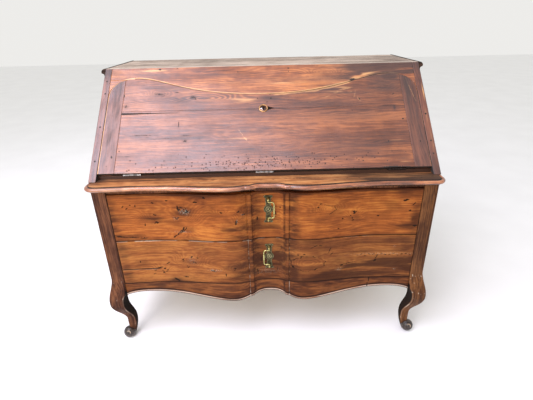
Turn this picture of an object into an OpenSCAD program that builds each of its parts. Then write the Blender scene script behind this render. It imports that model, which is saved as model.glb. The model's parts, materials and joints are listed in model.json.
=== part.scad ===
// Slant-front writing desk: a serpentine chest of two long drawers on cabriole legs,
// under a sloping lid that folds forward to make the writing surface.
// X runs to the right as seen from the front, Y to the back and Z up.
// The origin is on the floor, under the middle of the desk. All sizes are in millimetres.

/* [Case] */
// Width across the corner posts
case_w = 1190; // [1100:10:1260]
// Depth from the post fronts to the back
case_d = 690; // [640:10:740]
// Height of the ledge that the slant starts from
waist_h = 700; // [680:5:730]
// Height of the top board
top_h = 1028; // [1000:2:1050]
// How far the top's front edge sits behind the post fronts
slant_run = 338; // [320:2:356]
// Thickness of the upper side boards, which is also the width of the slanting stiles
side_t = 25; // [20:1:30]
// Thickness of the top board
top_t = 22; // [18:1:26]
// Thickness of the back boards
back_t = 12; // [8:1:16]
// Thickness of the lower side boards
panel_t = 20; // [16:1:24]
// Height of the lower edge of the side boards and of the back
skirt_h = 238; // [232:1:250]
// Height of the arch cut in the lower edge of each side board
side_arch = 26; // [10:1:34]
// Setback of the lower back boards from the back
lower_back_in = 6; // [2:1:12]
// Height of the rail along the bottom of the back
back_rail_h = 50; // [40:1:60]
// Gap between neighbouring back boards
board_gap = 0.5; // [0.3:0.1:1.5]
// Radius of the pegs that hold the stiles
peg_r = 3.5; // [2.5:0.5:4.5]
// Length of the pegs that hold the stiles
peg_len = 34; // [28:1:40]

/* [Top moulding] */
// Radius of the half round along each end of the top
moulding_r = 8; // [6:0.5:9]
// How far the middle of the half round stands out of the side
moulding_out = 7; // [4:0.5:8]

/* [Ledge] */
// Thickness of the ledge planks
ledge_t = 20; // [18:1:24]
// How far the ledge stands in front of the posts, bead included
ledge_front = 56; // [50:1:62]
// How far the ledge stands past the posts at the sides, bead included
ledge_side = 3; // [0:1:8]
// Radius of the half-round bead along the ledge
bead_r = 6.5; // [5:0.5:8]
// Radius of the ledge planks' front corners
ledge_corner_r = 22; // [14:1:28]
// Depth of the front ledge plank behind the post fronts
ledge_back = 70; // [60:1:90]
// Width of the side ledge planks
ledge_rail_w = 48; // [40:1:60]

/* [Serpentine front] */
// How far the hollow middle of the front sits behind the posts
recess_in = 7; // [3:1:9]
// How far the middle of the serpentine front sits to the right of the desk's middle
mid_shift = 11; // [0:1:16]
// Half width of the flat at the bottom of the hollow
recess_flat = 18; // [12:1:24]
// Distance of each ridge from the middle of the front
ridge_x = 58; // [52:1:64]
// Width of each ridge
ridge_w = 16; // [10:1:20]
// How far each ridge stands out of the front
ridge_out = 3; // [1:0.5:5]
// Distance of each bulge from the middle
bulge_x = 133; // [120:1:150]
// How far each bulge stands in front of the posts
bulge_out = 18; // [12:1:22]
// Distance of each side hollow from the middle
hollow_x = 400; // [370:5:430]
// How far each side hollow sits behind the posts
hollow_in = 5; // [0:1:8]

/* [Legs] */
// Width of the square corner posts
post_w = 48; // [42:1:52]
// Height at which the legs begin to curve
leg_start_h = 300; // [292:1:310]
// Height of the knee
knee_h = 197; // [188:1:205]
// How far the knee stands out of the post
knee_out = 21; // [16:1:26]
// Thickness of the leg at the knee
knee_w = 57; // [50:1:62]
// Height of the ankle
ankle_h = 85; // [78:1:92]
// How far the ankle sits inside the post's outer faces
ankle_in = 17; // [10:1:20]
// Thickness of the leg at the ankle
ankle_w = 35; // [30:1:40]
// Radius of the scrolled ball at the toe
toe_r = 24; // [20:1:26]
// How far the middle of the ball sits inside the post's outer faces
toe_in = 18; // [10:1:20]
// Rounding of the leg's arrises
leg_round = 9; // [5:1:12]

/* [Apron] */
// Height of the arch in the middle of the apron
apron_mid_h = 230; // [222:1:236]
// Height of the lowest points of the apron, under the bulges
apron_low_h = 200; // [190:1:210]
// Height of the apron's hollows towards the legs
apron_side_h = 240; // [232:1:250]
// Distance of the apron's side hollows from the middle
apron_side_x = 460; // [440:5:480]
// Height of the apron where it meets the legs
apron_end_h = 225; // [215:1:230]
// How far the bead along the apron's lower edge stands out
apron_bead_out = 1.5; // [0.5:0.5:2]
// Width of this bead
apron_bead_h = 8; // [6:1:10]
// Depth of the apron board behind the post fronts
apron_back = 30; // [26:1:34]

/* [Lid] */
// Thickness of the top rail, the stiles and the corner blocks
rail_t = 18; // [16:1:20]
// Width of the top rail above the lid's peaks
rail_w = 49; // [40:1:60]
// Gap round the lid
lid_gap = 1.5; // [1:0.1:2.5]
// Clearance between the lid and its stops
stop_gap = 0.3; // [0.2:0.1:0.5]
// Drop of the lid's top edge from its peaks to its middle
lid_dip = 81; // [60:1:95]
// Width of each rounded corner of the lid
lid_corner_w = 104; // [80:1:115]
// Height of each rounded corner of the lid
lid_corner_h = 87; // [70:1:100]
// Width of the cleats at the ends of the lid
cleat_w = 56; // [44:1:60]
// Width of the lid's upper board at its middle
upper_board_w = 63; // [50:1:80]
// How deep the hinge pin sits under the lid's outer face
hinge_deep = 12; // [11:0.5:13]
// Distance from the lid's lower edge back to the hinge pin
hinge_back = 1.5; // [1:0.1:2]
// Height that the open lid clears the ledge by
open_gap = 0.6; // [0.4:0.1:1.2]
// Gap between the closed lid's lower edge and the notch in the writing board
notch_gap = 3; // [2.5:0.1:3.5]
// How far the writing board's front edge sits behind the open lid's lower edge
riser_lip = 0.8; // [0.6:0.1:1]
// Thickness of the battens that the closed lid rests on
stop_t = 10; // [8:1:14]
// Width of these battens behind the rail and the stiles
stop_w = 14; // [12:1:18]
// Width of these battens behind the lid
stop_lap = 8; // [6:1:10]
// How far above the lid's lower edge the battens behind the stiles begin
stop_up = 50; // [40:2:70]

/* [Hinges and lock] */
// Distance of the outer hinges from the middle
hinge_x = 453; // [420:1:470]
// Length of each hinge
hinge_len = 60; // [48:1:72]
// Radius of the hinge knuckles
knuckle_r = 3.5; // [3:0.1:3.8]
// Radius of the hinge pins
pin_r = 1.6; // [1.4:0.1:1.8]
// Radial clearance of the hinge pins and of the bails' pivots
pin_gap = 0.05; // [0.03:0.01:0.08]
// Thickness of the hinge leaves
leaf_t = 1.6; // [1.2:0.1:2]
// Width of the lock case
lock_w = 80; // [64:2:96]
// Length of the lock case along the slope
lock_len = 84; // [78:1:88]
// Thickness of the lock case
lock_t = 10; // [9:0.5:11]
// Width of the lock bolt
bolt_w = 22; // [16:1:28]
// Thickness of the lock bolt
bolt_t = 4; // [3:0.5:5]
// Travel of the lock bolt
bolt_travel = 10; // [8:1:12]
// Distance of the keyhole's middle from the middle of the lid's top edge
key_drop = 62; // [56:1:66]
// Outer radius of the keyhole ring
key_ring_r = 16.5; // [14:0.5:18]
// Radius of the keyhole
key_hole_r = 10; // [8:0.5:11]
// Depth of the pointed hole beside the keyhole ring
chip_deep = 3; // [2:0.5:4]
// Width of this hole at the ring
chip_h = 16; // [12:1:20]
// Distance of its point from the middle
chip_end = 33; // [28:1:36]
// Radius of the key's pin hole in the lock case
key_pin_r = 4; // [3:0.5:5]

/* [Drawers] */
// Height of the lower edge of the lower drawer's front
low_front_h = 281; // [278:1:284]
// Height of the rail between the upper drawer and the ledge
front_rail_h = 27; // [22:0.5:34]
// Gap round and between the drawer fronts
front_gap = 2; // [1.5:0.1:3]
// Depth of the drawer fronts' flat backs behind the post fronts
front_back = 32; // [28:1:36]
// Thickness of the drawer sides and backs
box_t = 12; // [9:1:14]
// Space between the drawers and the back of the desk
box_behind = 50; // [44:1:90]
// Thickness of the drawer bottoms
bottom_t = 7; // [5:1:9]
// Depth of the grooves that hold the drawer bottoms
groove = 5; // [3:1:6]
// Clearance under the drawer sides
slide_gap = 0.4; // [0.3:0.1:0.8]
// Thickness of the rail behind and between the drawers
divider_t = 20; // [16:1:24]
// Depth of the divider and the upper front rail
divider_w = 24; // [20:1:40]
// Width of the drawer runners
runner_w = 45; // [36:1:54]
// Height of the guides beside the drawers
guide_h = 40; // [30:1:60]
// Clearance over the drawer sides
box_over = 9; // [6:1:14]
// Height of the drawer bottoms above the sides' lower edges
bottom_up = 5; // [3:1:8]
// Length of the dovetails that join the sides to the fronts
tail_len = 14; // [10:1:18]

/* [Handles] */
// Distance of the handles to the right of the middle
handle_x = 10; // [0:1:12]
// Height of the upper handle's middle over the middle of its drawer
upper_handle_up = 24; // [12:1:32]
// Height of the lower handle's middle over the middle of its drawer
lower_handle_up = 14; // [4:1:24]
// Height of the handle plates
plate_h = 108; // [100:1:116]
// Width of the handle plates
plate_w = 33; // [28:1:36]
// Thickness of the handle plates
plate_t = 1.5; // [1:0.1:2]
// Distance between a handle's two posts
post_span = 80; // [74:1:86]
// Radius of the knobs of the handle posts
post_r = 6; // [5:0.5:7]
// Distance from the plate to the pivot of the bail
pivot_out = 10; // [8.5:0.5:12]
// Reach of the bail from its pivot
bail_reach = 20; // [17:0.5:22]
// Radius of the bail's rod
bail_r = 2.4; // [2:0.1:2.8]
// Radius of the beads on the bail
bail_bead_r = 3.8; // [3.2:0.1:4.4]
// Radius of the bail's pivots in the posts
bail_pin_r = 1.5; // [1.2:0.1:1.8]
// Radius of the screwed rods that hold the posts
rod_r = 2.2; // [1.8:0.1:2.4]
// Radius of the holes for these rods in the drawer fronts
rod_hole_r = 2.6; // [2.5:0.1:3]
// Radius of the nuts behind the drawer fronts
nut_r = 6; // [5:0.5:7]
// Thickness of the nuts
nut_t = 5; // [4:0.5:6]

/* [Pigeonholes] */
// Distance of the front of the pigeonholes behind the post fronts
gallery_y = 400; // [390:5:440]
// Distance of the uprights from the middle
bay_x = 300; // [260:5:340]
// Thickness of the uprights and shelves
gallery_t = 11; // [8:1:14]
// Height of the small drawers' bays
small_bay_h = 100; // [90:1:110]
// Height of the middle shelf above the writing board
middle_shelf_h = 150; // [120:5:180]
// Thickness of the small drawers' fronts
small_front_t = 12; // [10:1:14]
// Thickness of the small drawers' sides, backs and bottoms
small_t = 8; // [6:1:10]
// Clearance round the small drawers
small_gap = 1; // [0.6:0.1:1.5]
// Radius of the small drawers' knobs
knob_r = 9; // [7:0.5:11]

/* [Hidden] */

// Colours of the wood and the metal
pale_top = [0.66, 0.60, 0.51];
lid_brown = [0.55, 0.33, 0.27];
walnut = [0.60, 0.31, 0.14];
dark_walnut = [0.40, 0.23, 0.14];
inner_wood = [0.62, 0.47, 0.31];
brass = [0.62, 0.56, 0.26];
old_brass = [0.33, 0.29, 0.16];
iron = [0.27, 0.25, 0.23];

// Half widths, and the middle of the desk's depth
half_w = case_w / 2;
inner_x = half_w - side_t;
bay_half = half_w - post_w;
panel_x = half_w - panel_t;
mid_y = (case_d - ledge_front - bulge_out) / 2;
tiny = 0.01;
glue_gap = 0.05;

// The slope: s is measured up it from the ledge, n is measured out of it
slope_a = atan2(top_h - waist_h, slant_run);
slope_len = norm([slant_run, top_h - waist_h]);
function slope_pt(s, n) =
  [s * cos(slope_a) - n * sin(slope_a), waist_h + s * sin(slope_a) + n * cos(slope_a)];
function slope_y(z, n) = ((z - waist_h) * cos(slope_a) - n) / sin(slope_a);
module on_slope() translate([0, 0, waist_h]) rotate([slope_a, 0, 0]) children();

// Curves: a cubic drawn by four points, and the parts of a list
function cubic(p, t) = pow(1 - t, 3) * p[0] + 3 * pow(1 - t, 2) * t * p[1]
  + 3 * (1 - t) * t * t * p[2] + pow(t, 3) * p[3];
function cubic_line(p, steps) = [for (i = [0:steps - 1]) cubic(p, i / steps)];
function flip(list) = [for (i = [len(list) - 1:-1:0]) list[i]];
function mirror_x(list) = [for (p = list) [-p[0], p[1]]];
function both_halves(half) = concat(flip(mirror_x(half)), half);
function path_dir(path, i) =
  let (d = path[min(i + 1, len(path) - 1)] - path[max(i - 1, 0)]) d / norm(d);
// Moves each point of a path to the left of the way it runs
function shifted(path, d) =
  [for (i = [0:len(path) - 1]) path[i] + d * [-path_dir(path, i)[1], path_dir(path, i)[0]]];
module plate_yz(x, w, outline) translate([x, 0, 0])
  rotate([90, 0, 90]) linear_extrude(w) polygon(outline);
module mirrored_box(x, y, z, size) for (side = [-1, 1])
  translate([side * x - (side < 0 ? size[0] : 0), y, z]) cube(size);

// Plan of the front, right half, from the middle to the post
ridge_end = ridge_x + ridge_w;
ridge_y = (recess_in - bulge_out) * 0.45;
ridge_slope = (recess_in - bulge_out) * 0.18;
front_line_x = bay_half - front_gap / 2 - 0.5;
middle_hollow = cubic_line([[recess_flat, recess_in], [recess_flat + 22, recess_in],
  [ridge_x - 10, ridge_y + 6], [ridge_x, ridge_y]], 7);
bulge_rise = cubic_line([[ridge_end, ridge_y + ridge_slope], [ridge_end + 14, ridge_y + ridge_slope - 5],
  [bulge_x - 23, -bulge_out], [bulge_x, -bulge_out]], 6);
side_span = hollow_x - bulge_x;
bulge_fall = cubic_line([[bulge_x, -bulge_out], [bulge_x + side_span * 0.25, -bulge_out],
  [hollow_x - side_span * 0.38, hollow_in], [hollow_x, hollow_in]], 12);
end_span = bay_half - hollow_x;
hollow_rise = cubic_line([[hollow_x, hollow_in], [hollow_x + end_span * 0.41, hollow_in],
  [bay_half - end_span * 0.18, 1], [bay_half, 0]], 5);
ridge_strip = [[ridge_x, ridge_y], [ridge_x + 1, ridge_y - ridge_out],
  [ridge_end - 1, ridge_y + ridge_slope - ridge_out], [ridge_end, ridge_y + ridge_slope]];
plain_half = concat(middle_hollow, [[ridge_x, ridge_y]], bulge_rise, bulge_fall, hollow_rise,
  [[bay_half, 0]]);
ridged_half = concat(middle_hollow, ridge_strip, [for (i = [1:len(bulge_rise) - 1]) bulge_rise[i]],
  bulge_fall, hollow_rise, [[bay_half, 0]]);
function cut_at(half, x) = concat([for (p = half) if (p[0] < x) p], [[x, lookup(x, plain_half)]]);
// Both halves of a line along the front, with its middle moved to the right and its ends left in place
function front_halves(half) = [for (p = both_halves(half))
  [p[0] + mid_shift * max(0, 1 - abs(p[0]) / bay_half), p[1]]];
function front_y(x) = lookup(x, front_halves(plain_half));

// Lid outline on the slope, right half of the top edge, from the middle outwards
lid_half = inner_x - lid_gap;
lid_t = rail_t - stop_gap;
lid_start = hinge_back + (hinge_deep * (1 + cos(slope_a)) + open_gap) / sin(slope_a);
peak_s = slope_len - rail_w;
peak_x = lid_half - lid_corner_w;
side_s = peak_s - lid_corner_h;
middle_s = peak_s - lid_dip;
lid_joint = middle_s - upper_board_w;
swoop = cubic_line([[0, middle_s], [peak_x * 0.6, middle_s], [peak_x * 0.81, peak_s],
  [peak_x, peak_s]], 16);
corner = cubic_line([[peak_x, peak_s], [peak_x + lid_corner_w * 0.68, peak_s],
  [lid_half, side_s + lid_corner_h * 0.68], [lid_half, side_s]], 10);
lid_top = concat(swoop, corner, [[lid_half, side_s]]);
lid_rim = both_halves([for (i = [1:len(lid_top) - 1]) lid_top[i]]);
rail_edge = [for (p = shifted(both_halves(lid_top), lid_gap)) if (p[0] > tiny) p];
block_s = peak_s - 4;
block_x = lookup(block_s, [for (p = rail_edge) if (p[0] > peak_x) [p[1], p[0]]]);
cleat_x = lid_half - cleat_w;

// Hinge axis, and the notch that it leaves in the writing board
pivot = slope_pt(lid_start - hinge_back, -hinge_deep);
board_top = pivot[1] + lid_t - hinge_deep;
notch_s = lid_start - notch_gap;
notch_n = -lid_t - lid_gap * 2 / 3;
riser_y = pivot[0] - hinge_back + riser_lip;
riser_top = waist_h + (notch_s - riser_y * cos(slope_a)) / sin(slope_a);

// Lock
lock_top = middle_s - 0.5;
bolt_n = -lid_t + 7;

// Heights of the drawers, which share what the ledge and its rail leave
front_h = (waist_h - ledge_t - front_rail_h - low_front_h) / 2 - front_gap;
divider_top = low_front_h + front_h + front_gap / 2 + divider_t / 2;
divider_bottom = divider_top - divider_t;
upper_front_h = low_front_h + front_h + front_gap;
rail_bottom = upper_front_h + front_h + front_gap;
low_runner_h = low_front_h + 2;
box_front = front_back;
box_len = case_d - box_front - box_behind;
box_x = bay_half - front_gap;
low_box_h = divider_bottom - low_runner_h - slide_gap - box_over;
high_box_h = rail_bottom - divider_top - slide_gap - box_over;
low_box_z = low_runner_h + slide_gap;
high_box_z = divider_top + slide_gap;

// Back boards and pigeonholes
lower_back_y = case_d - back_t - lower_back_in;
gallery_back = case_d - back_t - tiny;
small_w = inner_x - bay_x - gallery_t / 2 - 2 * small_gap;
small_x = bay_x + gallery_t / 2 + small_gap;
small_h = small_bay_h - 1.5;

// Legs: how far the outer and the inner face stand out of the post's outer face at each height
calf_h = knee_h - ankle_h;
leg_outer = concat(
  cubic_line([[leg_start_h, 0], [leg_start_h - 38, knee_out * 0.2], [knee_h + 38, knee_out],
    [knee_h, knee_out]], 7),
  cubic_line([[knee_h, knee_out], [knee_h - calf_h * 0.42, knee_out], [ankle_h + calf_h * 0.36, -ankle_in],
    [ankle_h, -ankle_in]], 9),
  cubic_line([[ankle_h, -ankle_in], [ankle_h - 15, -ankle_in], [toe_r + 18, -toe_in],
    [toe_r, -toe_in]], 4),
  [[toe_r, -toe_in], [0, -toe_in - 2]]);
leg_inner = concat(
  cubic_line([[leg_start_h, -post_w], [leg_start_h - 20, -post_w],
    [knee_h + 45, -post_w], [knee_h + 36, -post_w + 2]], 3),
  cubic_line([[knee_h + 36, -post_w + 2], [knee_h + 25, knee_out - knee_w - 3],
    [knee_h + 14, knee_out - knee_w], [knee_h - 7, knee_out - knee_w]], 5),
  cubic_line([[knee_h - 7, knee_out - knee_w], [knee_h - calf_h * 0.42, knee_out - knee_w],
    [ankle_h + calf_h * 0.36, -ankle_in - ankle_w], [ankle_h, -ankle_in - ankle_w]], 8),
  cubic_line([[ankle_h, -ankle_in - ankle_w], [ankle_h - 25, -ankle_in - ankle_w],
    [toe_r, -toe_in - 28], [0, -toe_in - 16]], 6),
  [[0, -toe_in - 16]]);
leg_steps = 26;
leg_levels = concat([for (i = [0:leg_steps]) leg_start_h * i / leg_steps], [waist_h - ledge_t]);
function leg_out(z) = z >= leg_start_h ? 0 : lookup(z, leg_outer);
function leg_in(z) = z >= leg_start_h ? -post_w : lookup(z, leg_inner);
ring_n = 20;
// One rounded rectangle of the leg, with its middle at c and its half sizes in h
function leg_ring(z, c, h, r) = [for (i = [0:ring_n - 1])
  let (a = 360 * (i + 0.5) / ring_n, q = floor(i * 4 / ring_n) * 90 + 45)
  [c[0] + sqrt(2) * (h[0] - r) * cos(q) + r * cos(a), c[1] + sqrt(2) * (h[1] - r) * sin(q) + r * sin(a), z]];

// A solid through equal rings of points, closed at both ends, whose rings turn to the left as they go on
module skin(rings) {
  n = len(rings[0]);
  last = len(rings) - 1;
  polyhedron(points = [for (r = rings) for (p = r) p],
    faces = concat([[for (i = [0:n - 1]) i]],
      [for (k = [0:last - 1]) for (i = [0:n - 1]) for (half = [0, 1])
        let (a = k * n + i, b = k * n + (i + 1) % n)
        half == 0 ? [a, a + n, b] : [b, a + n, b + n]],
      [[for (i = [n - 1:-1:0]) last * n + i]]));
}

// Cabriole leg and corner post in one piece; back legs stay flat against the wall
module leg(side, front) color(dark_walnut) {
  rings = [for (z = leg_levels)
    let (o = leg_out(z), i = leg_in(z), h = (o - i) / 2, m = (o + i) / 2,
      r = z >= leg_start_h ? 3 : min(leg_round, h - 1, 3 + (leg_start_h - z) * 0.15),
      hy = front ? h : min(h, post_w / 2),
      x = side * (half_w + m),
      y = front ? -m : case_d - hy)
    leg_ring(z, [x, y], [h, hy], r)];
  toe_x = side * (half_w - toe_in);
  toe_y = front ? toe_in : case_d - toe_r;
  skin(rings);
  intersection() {
    translate([toe_x, toe_y, toe_r - 1]) sphere(toe_r, $fn = 40);
    translate([toe_x - 2 * toe_r, toe_y - 2 * toe_r, 0]) cube([4 * toe_r, 4 * toe_r, 3 * toe_r]);
  }
}

// Lower side board with an arch along its lower edge
module lower_side(side) {
  y0 = post_w;
  y1 = case_d - post_w;
  run = (y1 - y0) / 10;
  arch = cubic_line([[y0, skirt_h], [y0 + run, skirt_h + side_arch], [y1 - run, skirt_h + side_arch],
    [y1, skirt_h]], 12);
  color(walnut) plate_yz(side > 0 ? panel_x : -half_w, panel_t,
    concat(arch, [[y1, skirt_h], [y1, waist_h - ledge_t], [y0, waist_h - ledge_t]]));
}

// Upper side board, cut to the slope behind its stile, with the holes for the pegs
module upper_side(side) {
  under = top_h - top_t;
  color(lid_brown) difference() {
    plate_yz(side > 0 ? inner_x : -half_w, side_t, [[slope_y(waist_h, -rail_t), waist_h],
      [slope_y(under, -rail_t), under], [case_d, under], [case_d, waist_h]]);
    pegs(side, 1);
  }
}

module stile(side) color(lid_brown) difference() {
  plate_yz(side > 0 ? inner_x : -half_w, side_t, [[0, waist_h], [slant_run, top_h],
    [slope_y(top_h, -rail_t), top_h], [slope_y(waist_h, -rail_t), waist_h]]);
  pegs(side, 1);
}

// Wooden pegs that hold the stiles to their side boards, and how far up the slope each one sits
left_pegs = slope_len * [0.17, 0.459, 0.76, 0.877];
right_pegs = slope_len * [0.172, 0.278, 0.51];
module pegs(side, over = 0) on_slope() for (s = side < 0 ? left_pegs : right_pegs)
  translate([side * (half_w - side_t / 2), s, -peg_len]) cylinder(h = peg_len + over, r = peg_r, $fn = 24);
module stile_pegs() color(dark_walnut) for (side = [-1, 1]) pegs(side);

module top_board() color(pale_top) plate_yz(-half_w, case_w,
  [[slope_y(top_h, -rail_t), top_h], [case_d, top_h], [case_d, top_h - top_t],
    [slope_y(top_h - top_t, -rail_t), top_h - top_t]]);

// Moulding along each end of the top: a half round over a hollow
module top_moulding(side) {
  nose = [for (a = [90:-15:-60]) [moulding_out + moulding_r * cos(a), -moulding_r + moulding_r * sin(a)]];
  hollow = cubic_line([[moulding_out + moulding_r * cos(60), -moulding_r * (1 + sin(60))],
    [moulding_out, -moulding_r * 2], [1, -moulding_r * 2], [0, -moulding_r * 3]], 5);
  outline = concat([[0, 0]], nose, hollow, [[0, -moulding_r * 3]]);
  reach = moulding_out + 2 * moulding_r;
  color(dark_walnut) intersection() {
    translate([side * half_w, case_d, top_h]) rotate([90, 0, 0]) linear_extrude(case_d)
      polygon(side > 0 ? outline : mirror_x(outline));
    plate_yz(-half_w - reach, case_w + 2 * reach, [[0, waist_h], [slant_run, top_h], [case_d, top_h],
      [case_d, waist_h]]);
  }
}

// Fixed rail above the lid, with the serpentine lower edge that the lid closes against
module top_rail() {
  flat = concat([for (p = rail_edge) if (p[0] < peak_x || p[1] > block_s) p], [[block_x, block_s]]);
  over = slope_len + rail_t / tan(slope_a) + 5;
  color(lid_brown) difference() {
    on_slope() translate([0, 0, -rail_t]) linear_extrude(rail_t) polygon(concat(both_halves(flat),
      [[inner_x, block_s], [inner_x, over], [-inner_x, over], [-inner_x, block_s]]));
    translate([-case_w, 0, top_h]) cube([2 * case_w, case_d, 2 * rail_t]);
    on_slope() bolt_shape(middle_s - 2, middle_s + bolt_travel + 6, 0.6);
    on_slope() keep_shape();
  }
}

// Glued block in each top corner, between the top rail, the stile and the lid
module corner_block(side) {
  edge = [for (p = rail_edge) if (p[0] > peak_x && p[1] < block_s - 0.1) [side * p[0], p[1]]];
  color(lid_brown) on_slope() translate([0, 0, -rail_t]) linear_extrude(rail_t)
    polygon(concat([[side * inner_x, block_s - tiny], [side * block_x, block_s - tiny]], edge,
      [[side * inner_x, side_s]]));
}

// Battens behind the rail and the stiles that the closed lid rests on
module lid_stops() {
  side_stop_s = lid_start + stop_up;
  inner_edge = [for (p = shifted(lid_rim, -stop_lap)) if (abs(p[0]) < cleat_x) p];
  outer_edge = [for (p = shifted(lid_rim, stop_w)) if (abs(p[0]) < cleat_x) p];
  color(inner_wood) on_slope() {
    translate([0, 0, -rail_t - stop_t]) linear_extrude(stop_t)
      polygon(concat(inner_edge, flip(outer_edge)));
    for (side = [-1, 1]) translate([side > 0 ? inner_x - stop_w : -inner_x, side_stop_s, -rail_t - stop_t])
      cube([stop_w, side_s - side_stop_s - 10, stop_t]);
  }
}

module upper_back_boards() {
  low = waist_h;
  high = top_h - top_t;
  step = (high - low) / 2;
  color(inner_wood) for (i = [0, 1])
    translate([-inner_x, case_d - back_t, low + i * step]) cube([2 * inner_x, back_t, step - board_gap]);
}

module lower_back_boards() {
  low = skirt_h + back_rail_h * 0.6;
  step = (waist_h - ledge_t - low) / 3;
  color(inner_wood) for (i = [0:2]) translate([-bay_half, lower_back_y, low + i * step])
    cube([2 * bay_half, back_t, step - (i < 2 ? board_gap : 0)]);
}

module back_bottom_rail() color(inner_wood) translate([-bay_half, lower_back_y - divider_w, skirt_h])
  cube([2 * bay_half, divider_w, back_rail_h]);

// Ledge planks, their outline in plan, and the bead along it
plank_x = half_w + ledge_side - 2 * bead_r;
plank_in = 2 * bead_r - ledge_front;
ledge_half = concat([for (p = plain_half) [p[0], p[1] + plank_in]],
  [for (a = [-80:16:0]) [plank_x - ledge_corner_r * (1 - cos(a)),
    plank_in + ledge_corner_r * (1 + sin(a))]]);
module front_ledge() {
  color(walnut) translate([0, 0, waist_h - ledge_t]) linear_extrude(ledge_t)
    polygon(concat(front_halves(ledge_half), [[plank_x, ledge_back], [-plank_x, ledge_back]]));
}
module side_ledge(side) color(walnut)
  translate([side > 0 ? plank_x - ledge_rail_w : -plank_x, ledge_back, waist_h - ledge_t])
    cube([ledge_rail_w, case_d - ledge_back, ledge_t]);

module back_ledge() color(inner_wood)
  translate([ledge_rail_w - plank_x, case_d - ledge_rail_w, waist_h - ledge_t])
    cube([2 * (plank_x - ledge_rail_w), ledge_rail_w, ledge_t]);

// The bead's section: a quirk at the plank, then the half round
bead_section = concat([[0, -bead_r * 2 - 1], [0, -1.5], [1.5, -2.5]],
  [for (a = [120:-30:-90]) [bead_r + bead_r * cos(a), -bead_r - 1 + bead_r * sin(a)]]);
bead_path = front_halves(concat(ledge_half, [[plank_x, case_d]]));
module ledge_bead() color(walnut) skin([for (i = [0:len(bead_path) - 1])
  let (d = path_dir(bead_path, i), last = i == 0 || i == len(bead_path) - 1)
  [for (q = bead_section) [bead_path[i][0] + q[0] * (last ? sign(bead_path[i][0]) : d[1]),
    bead_path[i][1] - q[0] * (last ? 0 : d[0]), waist_h + q[1]]]]);

// Writing board, notched along its front edge for the lid's lower end
module writing_board() color(inner_wood) difference() {
  plate_yz(-inner_x, 2 * inner_x, [[riser_y, waist_h], [riser_y, riser_top],
    slope_pt(notch_s, notch_n), [slope_y(board_top, notch_n), board_top],
    [case_d - back_t, board_top], [case_d - back_t, waist_h]]);
  for (x = [-hinge_x, 0, hinge_x]) on_slope() {
    strap_shape(x, 1);
    knuckle(x - hinge_len / 2 - 0.5, hinge_len + 1, knuckle_r + 0.6);
  }
}

// Serpentine apron with its arched lower edge
apron_span = apron_side_x - bulge_x;
apron_half = concat(
  cubic_line([[0, apron_mid_h], [bulge_x * 0.45, apron_mid_h], [bulge_x * 0.56, apron_low_h],
    [bulge_x, apron_low_h]], 9),
  cubic_line([[bulge_x, apron_low_h], [bulge_x + apron_span * 0.25, apron_low_h],
    [apron_side_x - apron_span * 0.34, apron_side_h], [apron_side_x, apron_side_h]], 12),
  cubic_line([[apron_side_x, apron_side_h], [(apron_side_x + bay_half) / 2, apron_side_h],
    [bay_half - 14, apron_end_h + 8], [bay_half, apron_end_h]], 5),
  [[bay_half, apron_end_h]]);
module apron_layer(out, outline) intersection() {
  linear_extrude(waist_h) polygon(concat([for (p = front_halves(ridged_half)) [p[0], p[1] - out]],
    [[bay_half, apron_back], [-bay_half, apron_back]]));
  translate([0, case_d, 0]) rotate([90, 0, 0]) linear_extrude(2 * case_d) polygon(outline);
}
module apron() {
  top = low_front_h - front_gap / 2;
  lower = front_halves([for (i = [1:len(apron_half) - 1]) apron_half[i]]);
  color(dark_walnut) {
    apron_layer(0, concat(lower, [[bay_half, top], [-bay_half, top]]));
    apron_layer(apron_bead_out, concat(lower, flip([for (p = lower) [p[0], p[1] + apron_bead_h]])));
  }
}

module upper_front_rail() color(dark_walnut) translate([-bay_half, front_back - divider_w, rail_bottom])
  cube([2 * bay_half, divider_w, waist_h - ledge_t - rail_bottom]);

module drawer_divider() color(dark_walnut) translate([-bay_half, front_back + 1, divider_bottom])
  cube([2 * bay_half, divider_w, divider_t]);

module drawer_runners() color(inner_wood) {
  y0 = front_back + 1 + divider_w;
  y1 = case_d - post_w;
  mirrored_box(panel_x - runner_w, y0, divider_bottom, [runner_w, y1 - y0, divider_t]);
  mirrored_box(panel_x - runner_w, post_w, low_runner_h - divider_t, [runner_w, y1 - post_w, divider_t]);
}

module drawer_guides() color(inner_wood) {
  y0 = front_back + 1 + divider_w;
  y1 = case_d - post_w;
  mirrored_box(bay_half, y0, divider_top, [panel_x - bay_half, y1 - y0, guide_h]);
  mirrored_box(bay_half, y0, low_runner_h, [panel_x - bay_half, y1 - y0, guide_h]);
}

// Pigeonholes over the small drawers
module gallery_uprights() color(inner_wood) for (side = [-1, 1])
  translate([side * bay_x - gallery_t / 2, gallery_y, board_top])
    cube([gallery_t, gallery_back - gallery_y, top_h - top_t - board_top]);
module gallery_shelves() color(inner_wood) {
  depth = gallery_back - gallery_y;
  span = inner_x - bay_x - gallery_t / 2;
  mirrored_box(bay_x + gallery_t / 2, gallery_y, board_top + small_bay_h, [span, depth, gallery_t]);
  translate([-bay_x + gallery_t / 2, gallery_y, board_top + middle_shelf_h])
    cube([2 * bay_x - gallery_t, depth, gallery_t]);
}

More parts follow.
